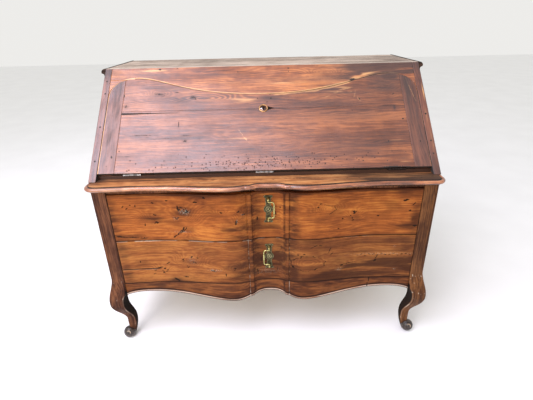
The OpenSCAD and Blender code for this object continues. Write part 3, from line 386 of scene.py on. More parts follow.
class Recipe:
    """Builds one material. Each method adds a node and gives its output."""

    def __init__(self, name):
        self.material = bpy.data.materials.new(name)
        self.material.use_nodes = True
        self.tree = self.material.node_tree
        self.shader = self.tree.nodes["Principled BSDF"]

    def put(self, socket, value):
        """Links an output to a socket, or sets the socket to a plain value."""
        if isinstance(value, bpy.types.NodeSocket):
            self.tree.links.new(value, socket)
        else:
            socket.default_value = value

    def fill(self, node, values):
        """Links or sets a node's sockets, each by its name."""
        for name, value in values.items():
            self.put(node.inputs[name], value)

    def node(self, kind, *inputs, **settings):
        n = self.tree.nodes.new(kind)
        for key, value in settings.items():
            setattr(n, key, value)
        for place, value in enumerate(inputs):
            if value is not None:
                self.put(n.inputs[place], value)
        return n

    def sum(self, operation, a, b=None, c=None):
        return self.node("ShaderNodeMath", a, b, c, operation=operation).outputs[0]

    def times(self, a, b):
        return self.sum("MULTIPLY", a, b)

    def less(self, a, b):
        return self.sum("SUBTRACT", a, b)

    def add_times(self, a, b, c):
        """a times b, plus c."""
        return self.sum("MULTIPLY_ADD", a, b, c)

    def noise(self, vector, scale, detail=3.0, rough=0.5):
        n = self.node("ShaderNodeTexNoise")
        self.fill(n, {"Vector": vector, "Scale": scale, "Detail": detail, "Roughness": rough})
        return n.outputs["Fac"]

    def stretch(self, vector, factors):
        return self.node("ShaderNodeVectorMath", vector, factors, operation="MULTIPLY").outputs[0]

    def streaks(self, vector, along, across, detail, rough):
        """Noise drawn out along the grain: its scale per metre along X and across it."""
        return self.noise(self.stretch(vector, (along, across, across)), 1.0, detail, rough)

    def parts(self, vector):
        """A vector's three numbers."""
        return self.node("ShaderNodeSeparateXYZ", vector).outputs

    def span(self, value, low, high, to_low=0.0, to_high=1.0):
        """value carried smoothly from low..high to to_low..to_high, and held there."""
        n = self.node("ShaderNodeMapRange", value, low, high, to_low, to_high)
        n.interpolation_type = "SMOOTHSTEP"
        return n.outputs[0]

    def ramp(self, value, *stops):
        n = self.node("ShaderNodeValToRGB", value)
        while len(n.color_ramp.elements) < len(stops):
            n.color_ramp.elements.new(0.5)
        for element, (place, colour) in zip(n.color_ramp.elements, stops):
            element.position = place
            element.color = (*colour, 1)
        return n.outputs[0]

    def mix(self, share, a, b):
        n = self.node("ShaderNodeMix", data_type="RGBA", blend_type="MIX")
        for place, value in ((0, share), (6, a), (7, b)):
            if isinstance(value, tuple) and len(value) == 3:
                value = (*value, 1)
            self.put(n.inputs[place], value)
        return n.outputs[2]

    def field(self, name):
        """One of the piece's own fields, which its marks function worked out."""
        return self.node("ShaderNodeAttribute", attribute_name=name).outputs["Fac"]

    def coordinates(self, turn_x=0.0, turn_z=0.0, move=(0, 0, 0)):
        place = self.node("ShaderNodeTexCoord").outputs["Object"]
        move = tuple(m * MM for m in move)
        return self.node("ShaderNodeMapping", place, move, (turn_x, 0, turn_z)).outputs[0]

    def bump(self, strength, depth, height):
        """Shades the surface as if it stood out by depth where height is 1."""
        relief = self.node("ShaderNodeBump")
        self.fill(relief, {"Strength": strength, "Distance": depth * MM, "Height": height})
        self.put(self.shader.inputs["Normal"], relief.outputs[0])


# The black of cracks, which is also the painted shade in gaps, grooves and quirks; shade brown is the painted
# shade on the writing board's front under the lid.
CRACK_AND_SHADE_BLACK = (0.010, 0.007, 0.005)
DUST_GREY = (0.46, 0.42, 0.33)
SHADE_BROWN = (0.030, 0.012, 0.008)
RUST = (0.030, 0.016, 0.011)


def year_rings(k, p, ring):
    """Year rings a given width apart: a sine of the distance across the grain.

    Slow noise bends them, and the piece's own 'figure' field closes them round the knots. Its 'ringed'
    field makes them stand out.
    """
    across = k.parts(p)
    bend = k.times(k.less(k.streaks(p, 2.2, 9, 3, 0.55), 0.5), 0.12)
    figure = k.times(k.field("figure"), 0.05)
    lane = k.sum("ADD", k.sum("ADD", across[Y], k.times(across[Z], 0.4)), k.sum("ADD", bend, figure))
    wave = k.sum("SINE", k.times(lane, 2 * math.pi / (ring * MM)))
    wave = k.sum("POWER", k.add_times(wave, 0.5, 0.5), 1.6)
    ringed = k.field("ringed")
    return k.times(k.less(wave, k.times(ringed, 0.3)), k.add_times(ringed, 0.6, 0.14))


def worm_holes(k, p):
    """Round holes up to 5 mm across, in those cells of a 7 mm pattern that the 'worm' field picks."""
    cells = k.node("ShaderNodeTexVoronoi", feature="F1")
    k.fill(cells, {"Vector": k.stretch(p, (1, 1, 0)), "Scale": 145.0})
    lot = k.parts(cells.outputs["Color"])[0]
    there = k.sum("LESS_THAN", lot, k.field("worm"))
    return k.times(there, k.span(cells.outputs["Distance"], 0.28, 0.43, 1.0, 0.0))


def wood(name, deep, mid, light, sap_and_highlight=(0.5, 0.3, 0.14), dirt_and_shade=(0.030, 0.011, 0.007), lie=0.0, crosswise=False,
         ring=9, rough=0.42, shine=0.35, coat=0.25, worm=False, top_pale=False, painted_shade_front=False,
         gild=0.12, even=0.0, move=(0, 0, 0)):
    """Waxed walnut.

    Long fibres, short dark pores and broad stains lie over the year rings. The field 'dark' adds dirt and
    painted shade, 'pale' sapwood and painted highlights, and 'edge' rubbed edges; 'mark' adds crisp black
    cracks and painted black shade in gaps, grooves and quirks, and 'dust' the pale dust in them. lie tips the
    pattern about X on to the piece's face, crosswise turns its grain a quarter round, and move shifts it.
    gild adds sapwood everywhere, and even draws the deep and light tones together.
    """
    k = Recipe(name)
    p = k.coordinates(-lie, -math.pi / 2 if crosswise else 0.0, move)
    tone = year_rings(k, p, ring)
    fibre = k.streaks(p, 16, 360, 3, 0.6)
    for layer, weight in ((k.streaks(p, 2.6, 15, 4, 0.6), 0.36), (k.streaks(p, 6, 115, 3, 0.55), 0.26),
                          (fibre, 0.14), (k.noise(p, 26.0, 3, 0.6), 0.12)):
        tone = k.add_times(k.span(layer, 0.3, 0.7), weight, tone)
    colour = k.ramp(tone, (0.22 - even, deep), (0.47, mid), (0.74 + even, light))
    streak = k.less(k.streaks(p, 6, 60, 4, 0.6), 0.5)
    # The 'pale' field mixes in the sap colour: sapwood, and painted highlights on some pieces.
    pale = k.field("pale")
    sapwood_and_highlight = k.add_times(k.times(streak, 2.2), k.sum("ADD", pale, gild), pale)
    colour = k.mix(k.span(sapwood_and_highlight, 0.2, 0.85), colour, sap_and_highlight)
    pore = k.span(k.streaks(p, 55, 700, 2, 0.5), 0.60, 0.72)
    colour = k.mix(k.times(pore, 0.45), colour, dirt_and_shade)

    blotch = k.noise(p, 9.0, 4, 0.62)
    smear = k.streaks(p, 4, 42, 4, 0.62)
    edge = k.field("edge")
    # The 'dark' field mixes in the dirt colour, both for dirt and for painted shade.
    dark = k.times(k.field("dark"), k.span(smear, 0.32, 0.62, 0.35, 1.2))
    rim = k.times(k.span(edge, 0.25, 1.0), k.span(blotch, 0.38, 0.66, 0.15, 0.75))
    colour = k.mix(k.sum("MINIMUM", k.sum("ADD", dark, rim), 0.88), colour, dirt_and_shade)
    rubbed = k.times(k.span(edge, 0.80, 1.0), k.span(k.noise(p, 60.0), 0.42, 0.62))
    colour = k.mix(k.times(rubbed, 0.55), colour, light)
    # The 'mark' field paints crisp black, for cracks and for painted shade in gaps, grooves and quirks.
    mark = k.span(k.add_times(k.noise(p, 330.0, 2), 0.5, k.field("mark")), 0.62, 0.92)
    colour = k.mix(k.times(mark, 0.93), colour, CRACK_AND_SHADE_BLACK)
    dust = k.times(k.field("dust"), k.span(k.noise(p, 240.0, 3, 0.7), 0.5, 0.62))
    colour = k.mix(dust, colour, DUST_GREY)

    haze = k.add_times(k.span(blotch, 0.3, 0.7), 0.16, rough - 0.08)
    haze = k.add_times(dark, 0.3, k.add_times(mark, 0.6, haze))
    height = k.sum("ADD", k.times(fibre, 0.4), k.times(k.less(1.0, pore), 0.6))
    if worm:
        hole = worm_holes(k, p)
        colour = k.mix(k.times(hole, 0.9), colour, dirt_and_shade)
        haze = k.add_times(hole, 0.6, haze)
        height = k.less(height, k.times(hole, 3.0))
    if top_pale:
        worn_top = k.span(k.parts(k.coordinates())[Z], (TOP - 1.2) * MM, (TOP - 0.3) * MM)
        bare = k.ramp(tone, (0.25, (0.22, 0.16, 0.11)), (0.62, (0.46, 0.36, 0.27)))
        colour = k.mix(worn_top, colour, bare)
    # Painted shade: the writing board's front, under the lid's lower edge, is darkened to shade brown.
    if painted_shade_front:
        depth = k.parts(k.coordinates())[Y]
        colour = k.mix(k.span(depth, (RISER_Y + 2) * MM, (RISER_Y + 5) * MM, 0.93, 0.0), colour, SHADE_BROWN)
    k.fill(k.shader, {"Base Color": colour, "Roughness": k.add_times(pore, 0.25, haze),
                      "Specular IOR Level": shine, "Coat Weight": coat, "Coat Roughness": 0.32})
    k.bump(0.35, 0.4, height)
    return k.material


def metal(name, bright, dull, grime, rough=0.35, rust_from=None):
    """Old metal: bright and dull tones by noise, with grime in its pits, and pale brass by 'pale', which on
    the handle plate is a pale rim and a painted highlight on the boss.
    """
    k = Recipe(name)
    p = k.coordinates()
    tarnish = k.noise(p, 140.0, 4, 0.6)
    pits = k.noise(p, 700.0, 2, 0.5)
    colour = k.mix(k.span(tarnish, 0.35, 0.65), bright, dull)
    colour = k.mix(k.times(k.span(pits, 0.58, 0.7), 0.8), colour, grime)
    colour = k.mix(k.field("pale"), colour, (0.5, 0.46, 0.24))
    if rust_from is not None:
        rusty = k.span(k.parts(p)[X], rust_from * MM, (rust_from + 10) * MM, 0.0, 0.92)
        colour = k.mix(rusty, colour, RUST)
    polish = k.span(tarnish, 0.3, 0.7, rough - 0.08, rough + 0.2)
    k.fill(k.shader, {"Base Color": colour, "Metallic": 0.9, "Roughness": polish})
    k.bump(0.4, 0.3, k.less(tarnish, k.span(pits, 0.55, 0.7)))
    return k.material


def hollow(name):
    """Painted shade for an open hole: an uneven brown-black that stands for the dark inside it."""
    k = Recipe(name)
    dust = k.noise(k.coordinates(), 400.0, 3)
    colour = k.ramp(dust, (0.3, (0.004, 0.003, 0.003)), (0.7, (0.02, 0.013, 0.009)))
    k.fill(k.shader, {"Base Color": colour, "Roughness": 0.95, "Specular IOR Level": 0.05})
    return k.material


# How the finishes lie and shine: the slope is polished, the front has a dull old wax
UP = math.pi / 2
ON_SLOPE = {"lie": SLANT, "shine": 0.7, "coat": 0.3, "top_pale": True}
ON_FRONT = {"lie": UP, "rough": 0.5, "shine": 0.12, "coat": 0.02}

LID = wood("lid walnut", (0.048, 0.013, 0.007), (0.146, 0.039, 0.014), (0.32, 0.104, 0.034),
           sap_and_highlight=(0.50, 0.24, 0.090), dirt_and_shade=(0.030, 0.010, 0.007), rough=0.36, worm=True, gild=0.34, even=0.07,
           **ON_SLOPE)
RAIL = wood("rail walnut", (0.066, 0.016, 0.008), (0.21, 0.058, 0.017), (0.47, 0.165, 0.048),
            sap_and_highlight=(0.58, 0.30, 0.115), dirt_and_shade=(0.030, 0.010, 0.007), rough=0.36, gild=0.4, even=0.05,
            move=(700, 0, 0), **ON_SLOPE)
CLEAT = wood("cleat walnut", (0.045, 0.013, 0.010), (0.11, 0.032, 0.018), (0.20, 0.066, 0.034),
             sap_and_highlight=(0.58, 0.30, 0.115), crosswise=True, rough=0.38, move=(300, 0, 0), **ON_SLOPE)
DRAWER = wood("drawer walnut", (0.11, 0.026, 0.006), (0.295, 0.082, 0.015), (0.52, 0.185, 0.034),
              sap_and_highlight=(0.56, 0.44, 0.33), dirt_and_shade=(0.040, 0.012, 0.005), even=0.15, **ON_FRONT)
LOW_DRAWER = wood("lower drawer walnut", (0.085, 0.023, 0.006), (0.215, 0.064, 0.015), (0.40, 0.150, 0.034),
                  sap_and_highlight=(0.56, 0.44, 0.33), dirt_and_shade=(0.036, 0.012, 0.006), even=0.13, move=(400, 0, 0), **ON_FRONT)
PLANK = wood("ledge walnut", (0.14, 0.045, 0.014), (0.40, 0.155, 0.050), (0.60, 0.29, 0.105),
             sap_and_highlight=(0.66, 0.38, 0.17), dirt_and_shade=(0.018, 0.010, 0.007), rough=0.46, shine=0.3, coat=0.1)
BEAD = wood("bead walnut", (0.10, 0.030, 0.012), (0.31, 0.100, 0.037), (0.54, 0.235, 0.10),
            rough=0.30, shine=0.7, coat=0.5)
APRON = wood("apron walnut", (0.040, 0.011, 0.003), (0.125, 0.036, 0.009), (0.24, 0.080, 0.020),
             sap_and_highlight=(0.44, 0.33, 0.26), **ON_FRONT)
POST = wood("post walnut", (0.028, 0.009, 0.005), (0.078, 0.027, 0.012), (0.16, 0.061, 0.026),
            sap_and_highlight=(0.46, 0.35, 0.27), crosswise=True, **ON_FRONT)
GOLDEN_POST = wood("golden post walnut", (0.026, 0.009, 0.004), (0.074, 0.027, 0.010), (0.17, 0.068, 0.023),
                   sap_and_highlight=(0.46, 0.38, 0.29), crosswise=True, move=(0, 0, 400), **ON_FRONT)
SIDE = wood("side walnut", (0.070, 0.021, 0.008), (0.18, 0.056, 0.018), (0.32, 0.11, 0.036),
            crosswise=True, rough=0.48, shine=0.15, coat=0.05)
# Its front gets painted shade, for the shade under the lid.
WRITING = wood("writing board walnut", (0.13, 0.050, 0.020), (0.26, 0.11, 0.045), (0.38, 0.18, 0.08),
               rough=0.45, painted_shade_front=True)
BLEACHED = wood("bleached top", (0.10, 0.070, 0.048), (0.30, 0.225, 0.165), (0.48, 0.38, 0.29),
                rough=0.6, coat=0.05)
PINE = wood("bare inner wood", (0.20, 0.115, 0.055), (0.34, 0.215, 0.115), (0.48, 0.33, 0.19),
            sap_and_highlight=(0.46, 0.33, 0.19), dirt_and_shade=(0.13, 0.075, 0.038), ring=22, even=0.12, rough=0.7, coat=0.0)
HEADS = wood("peg wood", (0.008, 0.006, 0.006), (0.022, 0.014, 0.012), (0.05, 0.03, 0.022),
             rough=0.5, coat=0.1)
TOE = wood("toe walnut", (0.014, 0.009, 0.007), (0.035, 0.022, 0.016), (0.08, 0.055, 0.042),
           sap_and_highlight=(0.34, 0.25, 0.17), lie=UP, rough=0.24, shine=0.45, coat=0.25)
BLACKENED = wood("blackened moulding", (0.010, 0.006, 0.005), (0.022, 0.013, 0.009), (0.05, 0.028, 0.018),
                 rough=0.6, shine=0.05, coat=0.0)
BRASS = metal("rubbed brass", (0.58, 0.52, 0.22), (0.30, 0.27, 0.09), (0.06, 0.055, 0.02), rough=0.30)
OLD_BRASS = metal("old brass", (0.11, 0.09, 0.042), (0.040, 0.034, 0.018), (0.010, 0.008, 0.005), rough=0.40)
GOLD = metal("ring copper", (0.54, 0.31, 0.14), (0.28, 0.14, 0.06), (0.05, 0.025, 0.012), rough=0.3)
STEEL = metal("key steel", (0.72, 0.70, 0.74), (0.40, 0.36, 0.38), (0.05, 0.04, 0.04), rough=0.25)
LOCK_FACE = metal("lock plate", (0.26, 0.17, 0.16), (0.12, 0.075, 0.07), (0.03, 0.02, 0.02), rough=0.3)
IRON = metal("wrought iron", (0.46, 0.44, 0.42), (0.16, 0.15, 0.14), (0.03, 0.025, 0.02), rough=0.45,
             rust_from=300)
# Painted shade for the keyhole's slot and the pointed hole.
HOLE_SHADE = hollow("open hole")

BY_SLOT = {"dark_walnut": POST, "front_walnut": SIDE, "lid_wood": SIDE, "pale_top": BLEACHED,
           "inner_wood": PINE, "bright_brass": BRASS, "old_brass": OLD_BRASS, "iron": IRON}
# The upper front rail, seen under the ledge, takes the dark post walnut as painted shade.
BY_NODE = {"left_lower_side": SIDE, "right_lower_side": SIDE, "writing_board": WRITING,
           "upper_front_rail": POST, "drawer_divider": POST,
           "left_top_moulding": BLACKENED, "right_top_moulding": BLACKENED}


def dress_frame():
    """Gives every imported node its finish."""
    slots = {s["node"]: s["material_slot"] for s in frame["record"]["subparts"]}
    for node, piece in frame["nodes"].items():
        piece.data.materials.clear()
        piece.data.materials.append(BY_NODE.get(node, BY_SLOT[slots[node]]))


def blots(t, v, places):
    """A sum of soft ellipses, each given as (t, v, half length, half width, strength)."""
    total = 0 * v
    for kt, kv, a, b, power in places:
        total = total + power * np.exp(-((t - kt) / a) ** 2 - ((v - kv) / b) ** 2)
    return total


def strokes(t, v, places, seed=5):
    """The greatest of crisp ragged ellipses: (t, v, half length, half width, turn in degrees)."""
    rag = 0.3 * ripple(t, v, 9, 7, seed)
    total = 0 * v
    for kt, kv, a, b, turn in places:
        c, s = math.cos(math.radians(turn)), math.sin(math.radians(turn))
        along = ((t - kt) * c + (v - kv) * s) / a
        across = ((v - kv) * c - (t - kt) * s) / b
        total = np.maximum(total, smooth(1.7 - np.hypot(along, across) - rag))
    return total


def cracked(knots, seed):
    """Strokes scattered over each knot (t, v, half length, half width, turn, count), as its wood splits."""
    draw = np.random.default_rng(seed)
    found = []
    for kt, kv, a, b, turn, count in knots:
        c, s = math.cos(math.radians(turn)), math.sin(math.radians(turn))
        for _ in range(count):
            r, around = math.sqrt(draw.uniform()), draw.uniform(0, 2 * math.pi)
            p, q = a * r * math.cos(around), b * r * math.sin(around)
            found.append((kt + p * c - q * s, kv + p * s + q * c, draw.uniform(1.5, 2 + 0.25 * a),
                          draw.uniform(0.7, 1.5 + 0.08 * b), turn + draw.normal(0, 25)))
    return found


# The lid's marks: blots for DARK, GOLD, SWIRLS and RINGED, strokes for SMUDGES, SCRATCHES and CRACKS
LID_DARK = [(448, 372, 60, 26, 0.85), (480, 405, 34, 14, 0.7), (325, 338, 60, 10, 0.5),
            (190, 350, 50, 9, 0.45), (26, 322, 40, 14, 0.75), (-257, 334, 16, 9, 0.9),
            (-300, 318, 30, 16, 0.35), (-384, 350, 26, 10, 0.45), (-432, 177, 56, 5, 0.5),
            (-275, 172, 26, 5, 0.6), (-276, 151, 10, 8, 0.7), (-350, 163, 60, 3, 0.4),
            (-500, 300, 12, 9, 0.6), (-488, 95, 40, 5, 0.4), (300, 245, 220, 30, 0.30),
            (180, 300, 110, 22, 0.35), (475, 271, 4, 10, 0.8), (474, 62, 20, 6, 0.7),
            (330, 110, 180, 40, 0.28), (-330, 430, 60, 10, 0.3), (250, 360, 40, 10, 0.4),
            (120, 345, 60, 8, 0.4)]
LID_GOLD = [(-330, 372, 60, 6, 0.5), (-270, 356, 40, 5, 0.4), (-60, 318, 50, 14, 0.4),
            (-150, 322, 110, 20, 0.3), (160, 167, 60, 4, 0.4), (60, 182, 90, 3, 0.3),
            (230, 190, 90, 3.5, 0.38), (350, 146, 90, 5, 0.35), (465, 136, 40, 4, 0.42),
            (-430, 155, 60, 5, 0.35), (-70, 158, 120, 5, 0.42), (-60, 190, 100, 4, 0.4),
            (-440, 248, 60, 5, 0.3), (300, 362, 34, 5, 0.7), (400, 330, 34, 4, 0.45),
            (260, 345, 60, 4, 0.45), (257, 322, 16, 4, 0.4), (171, 300, 10, 5, 0.4), (400, 350, 22, 3, 0.4),
            (448, 343, 6, 4, 0.7), (483, 52, 26, 4, 0.5), (-39, 121, 22, 9, 0.3)]
LID_SWIRLS = [(-215, 326, 120, 24, 1.15), (-384, 350, 40, 18, 0.8), (230, 186, 240, 24, 0.5),
              (340, 330, 90, 30, 0.5), (450, 350, 50, 30, 0.5), (-432, 160, 120, 26, 0.5),
              (-40, 160, 130, 20, 0.5)]
LID_RINGED = [(-180, 322, 130, 24, 0.85), (250, 250, 260, 50, 0.2)]
LID_SMUDGES = [(-432, 178, 34, 2.2, 0), (-275, 173, 14, 2.2, 0), (-276, 151, 6, 4, 0),
               (-350, 163, 44, 1.2, 3), (-384, 350, 18, 3, -8), (-366, 341, 10, 2, 30),
               (-257, 334, 10, 5, 0), (-246, 326, 6, 4, -30), (-500, 300, 4, 7, 0), (-488, 95, 26, 1.6, 0),
               (26, 340, 5, 4, 0), (30, 322, 4, 4, 0), (16, 306, 5, 3, 0), (-20, 322, 3, 3, 0),
               (-400, 74, 10, 1.6, 0), (-345, 60, 8, 1.4, 0), (322, 262, 1.5, 4, 0), (404, 256, 3, 1.5, 0),
               (480, 330, 5, 3, 50), (-120, 224, 2, 6, 0), (-190, 205, 1.6, 4, 0)]
LID_SCRATCHES = [(-82, 182, 14, 1.4, -55), (-67, 158, 14, 1.4, -50), (-52, 140, 7, 1.3, -30),
                 (338, 332, 14, 3, 70), (350, 312, 12, 3, -65), (322, 340, 10, 2, 30),
                 (306, 356, 20, 2.5, 12), (372, 352, 26, 1.6, 8), (440, 349, 5, 3, 0),
                 (436, 338, 8, 1.6, 80), (270, 340, 16, 1.6, 12), (231, 322, 12, 1.6, 15)]
LID_CRACKS = [(436, 34, 28, 2.6, 0), (482, 33, 14, 1.6, 0), (-317, 357, 9, 1.3, 0), (-303, 223, 0.8, 14, 3),
              (440, 362, 22, 0.8, 8), (498, 222, 3, 2.5, 0), (435, 133, 2.4, 2.4, 0),
              (352, 311, 5, 2.5, -60), (515, 263, 3, 2, 0), (-511, 345, 2, 5, 0)]
# The long split's height and its right end, and the height of the wormholes
SPLIT_S = 268
SPLIT_END = -304
WORM_S = 60
# The cleats' marks, by side
CLEAT_SMEARS = {-1: [(300, 530, 120, 14, 0.5), (150, 548, 70, 10, 0.4), (400, 520, 40, 20, 0.2)],
                1: [(300, 530, 120, 14, 0.5), (150, 548, 70, 10, 0.4), (400, 520, 40, 20, 0.8)]}
CLEAT_STREAKS = {-1: [], 1: [(345, 545, 60, 1.2, -12)]}
CLEAT_NICKS = {-1: [(95, 527, 4, 3, 0), (60, 540, 2, 2, 0)], 1: [(130, 545, 3, 2, 0)]}


def split_share(t):
    """How wide the lid's long split is: from 0 at its end to 1 at the left cleat."""
    return unit((SPLIT_END - t) / (SPLIT_END + CLEAT_X))


def lid_foot_shade(s):
    """Painted shade: black along the lower end face of the lid's boards, which lies in shadow."""
    return fall(s, LID_START + 0.5, 0.3)


def lid_marks(t, v):
    """The rim's golden line, the sapwood along the swoop, stains, cracks, the split and the wormholes, with a
    painted highlight along the lower lip and painted shade on the lower end face.
    """
    below = lid_edge(t) - v
    flow = 1 + 0.35 * ripple(t, v, 60, 30, 33)
    swoop = rise(t, 20, 60) * fall(t, 350, 60)
    gold = 0.5 * hump(below - 4, 2) * rise(t, 20, 60) + 0.95 * swoop * fall(below, 9 * flow, 3)
    # Painted highlight along the lid's rounded lower lip, fading to the right.
    lip = 0.7 * hump(v - LID_START - 2.5, 1.6) * fall(t, 150, 300)
    pale = gold + blots(t, v, LID_GOLD) + 0.45 * strokes(t, v, LID_SCRATCHES, 16) + lip
    gloom = 0.08 * rise(t, 60, 420) + 0.25 * rise(v, 250, 60) * rise(t, 150, 200)
    share = split_share(t)
    split = smooth(1.6 - np.abs(v - SPLIT_S) / (3.4 * share + 0.2)) * (share > 0) * smooth(share * 6 + 0.4)
    # The lower end face is painted black as shade.
    mark = np.max([strokes(t, v, LID_CRACKS, 12), split, lid_foot_shade(v), 0.75 * hump(below, 1.3),
                   0.58 * strokes(t, v, LID_SMUDGES, 15)], 0)
    worm = 0.9 * hump(t, 190) * hump(v - WORM_S, 17) + 0.1 * hump(v - WORM_S, 30)
    return {"pale": unit(pale), "dark": unit(blots(t, v, LID_DARK) + gloom), "mark": mark, "worm": worm,
            "figure": blots(t, v, LID_SWIRLS), "ringed": unit(blots(t, v, LID_RINGED))}


def lid_relief(t, v):
    """Gentle waves of a hand-planed face, and the long split at the left, widest at the cleat."""
    waves = 0.25 * ripple(t, v, 420, 120, 3)
    share = split_share(t)
    split = unit(1 - np.abs(v - SPLIT_S) / (2.6 * share + 0.001))
    return waves - 3 * split * (share > 0)


def make_lid():
    """The lid's two boards, parted at the joint line, and the cleat at each end."""
    inner_d = -LID_T + 0.3
    lock_d = -7.4
    joint_half = 0.1
    trim = {"edge_r": 0.8, "rows": 3, "marks": lid_marks}

    def round_lock(t):
        """The upper board's inner side, let in over the width of the lock case."""
        return np.where(np.abs(t) < LOCK_X + 0.4, lock_d, inner_d)
    lock_lines = [side * LOCK_X + k * 0.6 for side, _ in SIDES for k in (-1, 0, 1)]
    across = stations(-CLEAT_X, CLEAT_X, 3, lock_lines)
    board("lid_lower_face", "lid", LID, "lid_wood", across, constant(LID_START),
          constant(JOINT_S - joint_half), lid_relief, constant(inner_d), on_slope, ["lid_lower_board"],
          grime=(0.1, 0.45, 0.4, 0.2), extra_rows=[SPLIT_S + k * 0.7 for k in range(-4, 5)], **trim)
    board("lid_upper_face", "lid", LID, "lid_wood", across, constant(JOINT_S + joint_half), lid_edge,
          lid_relief, round_lock, on_slope, ["lid_upper_board"], grime=(0.45, 0.1, 0.4, 0.2), **trim)
    up = stations(LID_START, float(lid_edge(CLEAT_X + 0.5)), 4)
    for side, word in SIDES:
        def cleat_marks(t, v, side=side):
            dark = 0.3 * unit(ripple(t, v, 120, 30, 8 + side)) + blots(t, v, CLEAT_SMEARS[side])
            pale = (0.9 if side < 0 else 0.4) * hump(lid_side(t) - v - 1, 2)
            pale = pale + 0.7 * strokes(t, v, CLEAT_STREAKS[side])
            joint = 0.6 * hump(v - CLEAT_X, 1)
            # The cleat's lower end face is painted black as shade.
            mark = np.max([0.8 * strokes(t, v, CLEAT_NICKS[side]), lid_foot_shade(t), joint], 0)
            return {"dark": unit(dark + 0.25 * (side > 0)), "pale": unit(pale), "mark": mark}
        board(word + "_cleat_face", "lid", CLEAT, "lid_wood", up, constant(CLEAT_X + 0.15), lid_side,
              lambda t, v: 0.2 * ripple(t, v, 300, 60, 5), constant(inner_d), up_slope(side),
              [word + "_cleat"], edge_r=0.8, rows=2.5, marks=cleat_marks, grime=(0.4, 0.15, 0.3, 0.1))


# The rail's marks: blots for DARK, GOLD and SWIRLS, strokes for HOLES
RAIL_DARK = [(500, 452, 70, 16, 0.8), (430, 462, 60, 6, 0.5), (332, 398, 16, 7, 0.8),
             (230, 428, 30, 8, 0.5), (-560, 452, 30, 14, 0.5), (-150, 430, 120, 8, 0.3),
             (60, 405, 120, 10, 0.35), (-520, 425, 30, 8, 0.3)]
RAIL_GOLD = [(-400, 457, 90, 6, 0.4), (-300, 444, 90, 6, 0.4), (-470, 446, 60, 5, 0.3),
             (120, 388, 110, 8, 0.34), (40, 440, 120, 5, 0.28), (250, 452, 80, 5, 0.25),
             (-120, 395, 110, 5, 0.3)]
RAIL_SWIRLS = [(-330, 440, 120, 16, 0.9), (230, 430, 60, 18, 1.2), (60, 400, 200, 14, 0.8)]
RAIL_HOLES = [(-388, 462, 4.5, 4, 0), (-92, 442, 1.8, 4, 10), (99, 456, 3.4, 3, 0), (98, 441, 1.6, 4, 0),
              (-322, 466, 3, 2, 0), (334, 396, 8, 4, 20), (210, 462, 4, 1.2, 0)]
STILE_GOLD = {-1: [], 1: [(120, 588, 60, 3, 0.7), (330, 590, 50, 3, 0.7), (230, 584, 40, 3, 0.6)]}
TOP_STAINS = [(-330, 520, 12, 200, 0.5), (520, 430, 60, 60, 0.8)]
# How far the rail's upper edge leans back for each millimetre of depth, to lie level
LEAN_BACK = math.cos(SLANT) / math.sin(SLANT)
KEEP_D = -8
TOP_T = 22


def rail_marks(t, v):
    """The golden line and the long flame of sapwood over the swoop, screws, nail holes and stains."""
    above = v - lid_edge(t)
    flow = 1 + 0.4 * ripple(t, v, 70, 20, 34)
    fade = fall(t, 480, 110)
    flame = rise(t, 300, 50) * fade * hump(above - 12, (3 + 6 * fade) * flow)
    band = rise(t, 20, 80) * fall(t, 360, 80) * fall(above, 6 * flow, 3)
    gold = 0.95 * hump(above - 2.6, 2.2) + blots(t, v, RAIL_GOLD)
    dark = (blots(t, v, RAIL_DARK) + 0.9 * rise(t, 80, 340)) * (1 - 0.95 * unit(flame))
    return {"pale": unit(gold + 1.1 * flame + 0.8 * band), "dark": unit(dark),
            "mark": 0.9 * strokes(t, v, RAIL_HOLES, 14), "figure": blots(t, v, RAIL_SWIRLS)}


def make_rail():
    """The fixed rail over the lid, and the narrow piece that closes it over the lock's keep."""
    def rail_low(t):
        """The rail's lower edge: the lid's line and the gap, then level over the corner blocks."""
        return np.where(np.abs(t) < PEAK_X + 14, lid_edge(t) + LID_GAP, BLOCK_S + 0.3)

    def rail_lay(t, v, d):
        """The rail's upper edge is cut level with the top, so the edge leans back with depth."""
        return on_slope(t, v - d * LEAN_BACK * rise(v, SLOPE_LEN - 30, 30), d)

    def round_keep(t):
        """The rail's inner side, let in for the keep."""
        return np.where(np.abs(t) < BOLT_X + 1.5, KEEP_D, -RAIL_T)
    end_x = INNER_X - 0.3
    across = stations(-end_x, end_x, 3, [side * (BOLT_X + k) for side, _ in SIDES for k in (1, 2)])
    board("top_rail_face", "case", RAIL, "lid_wood", across, rail_low, constant(SLOPE_LEN),
          lambda t, v: 0.25 * ripple(t, v, 380, 90, 6), round_keep, rail_lay, ["top_rail"],
          edge_r=0.8, rows=3, marks=rail_marks, grime=(0.1, 0.5, 0.3, 0.6))
    keep_x = BOLT_X + 1.8
    board("rail_over_keep", "case", RAIL, "lid_wood", stations(-keep_x, keep_x, 3), constant(SLOPE_LEN - 14),
          constant(SLOPE_LEN - 0.05), level(KEEP_D + 0.2), constant(-RAIL_T), rail_lay, edge_r=0.2,
          grime=(0, 0.3, 0, 0))


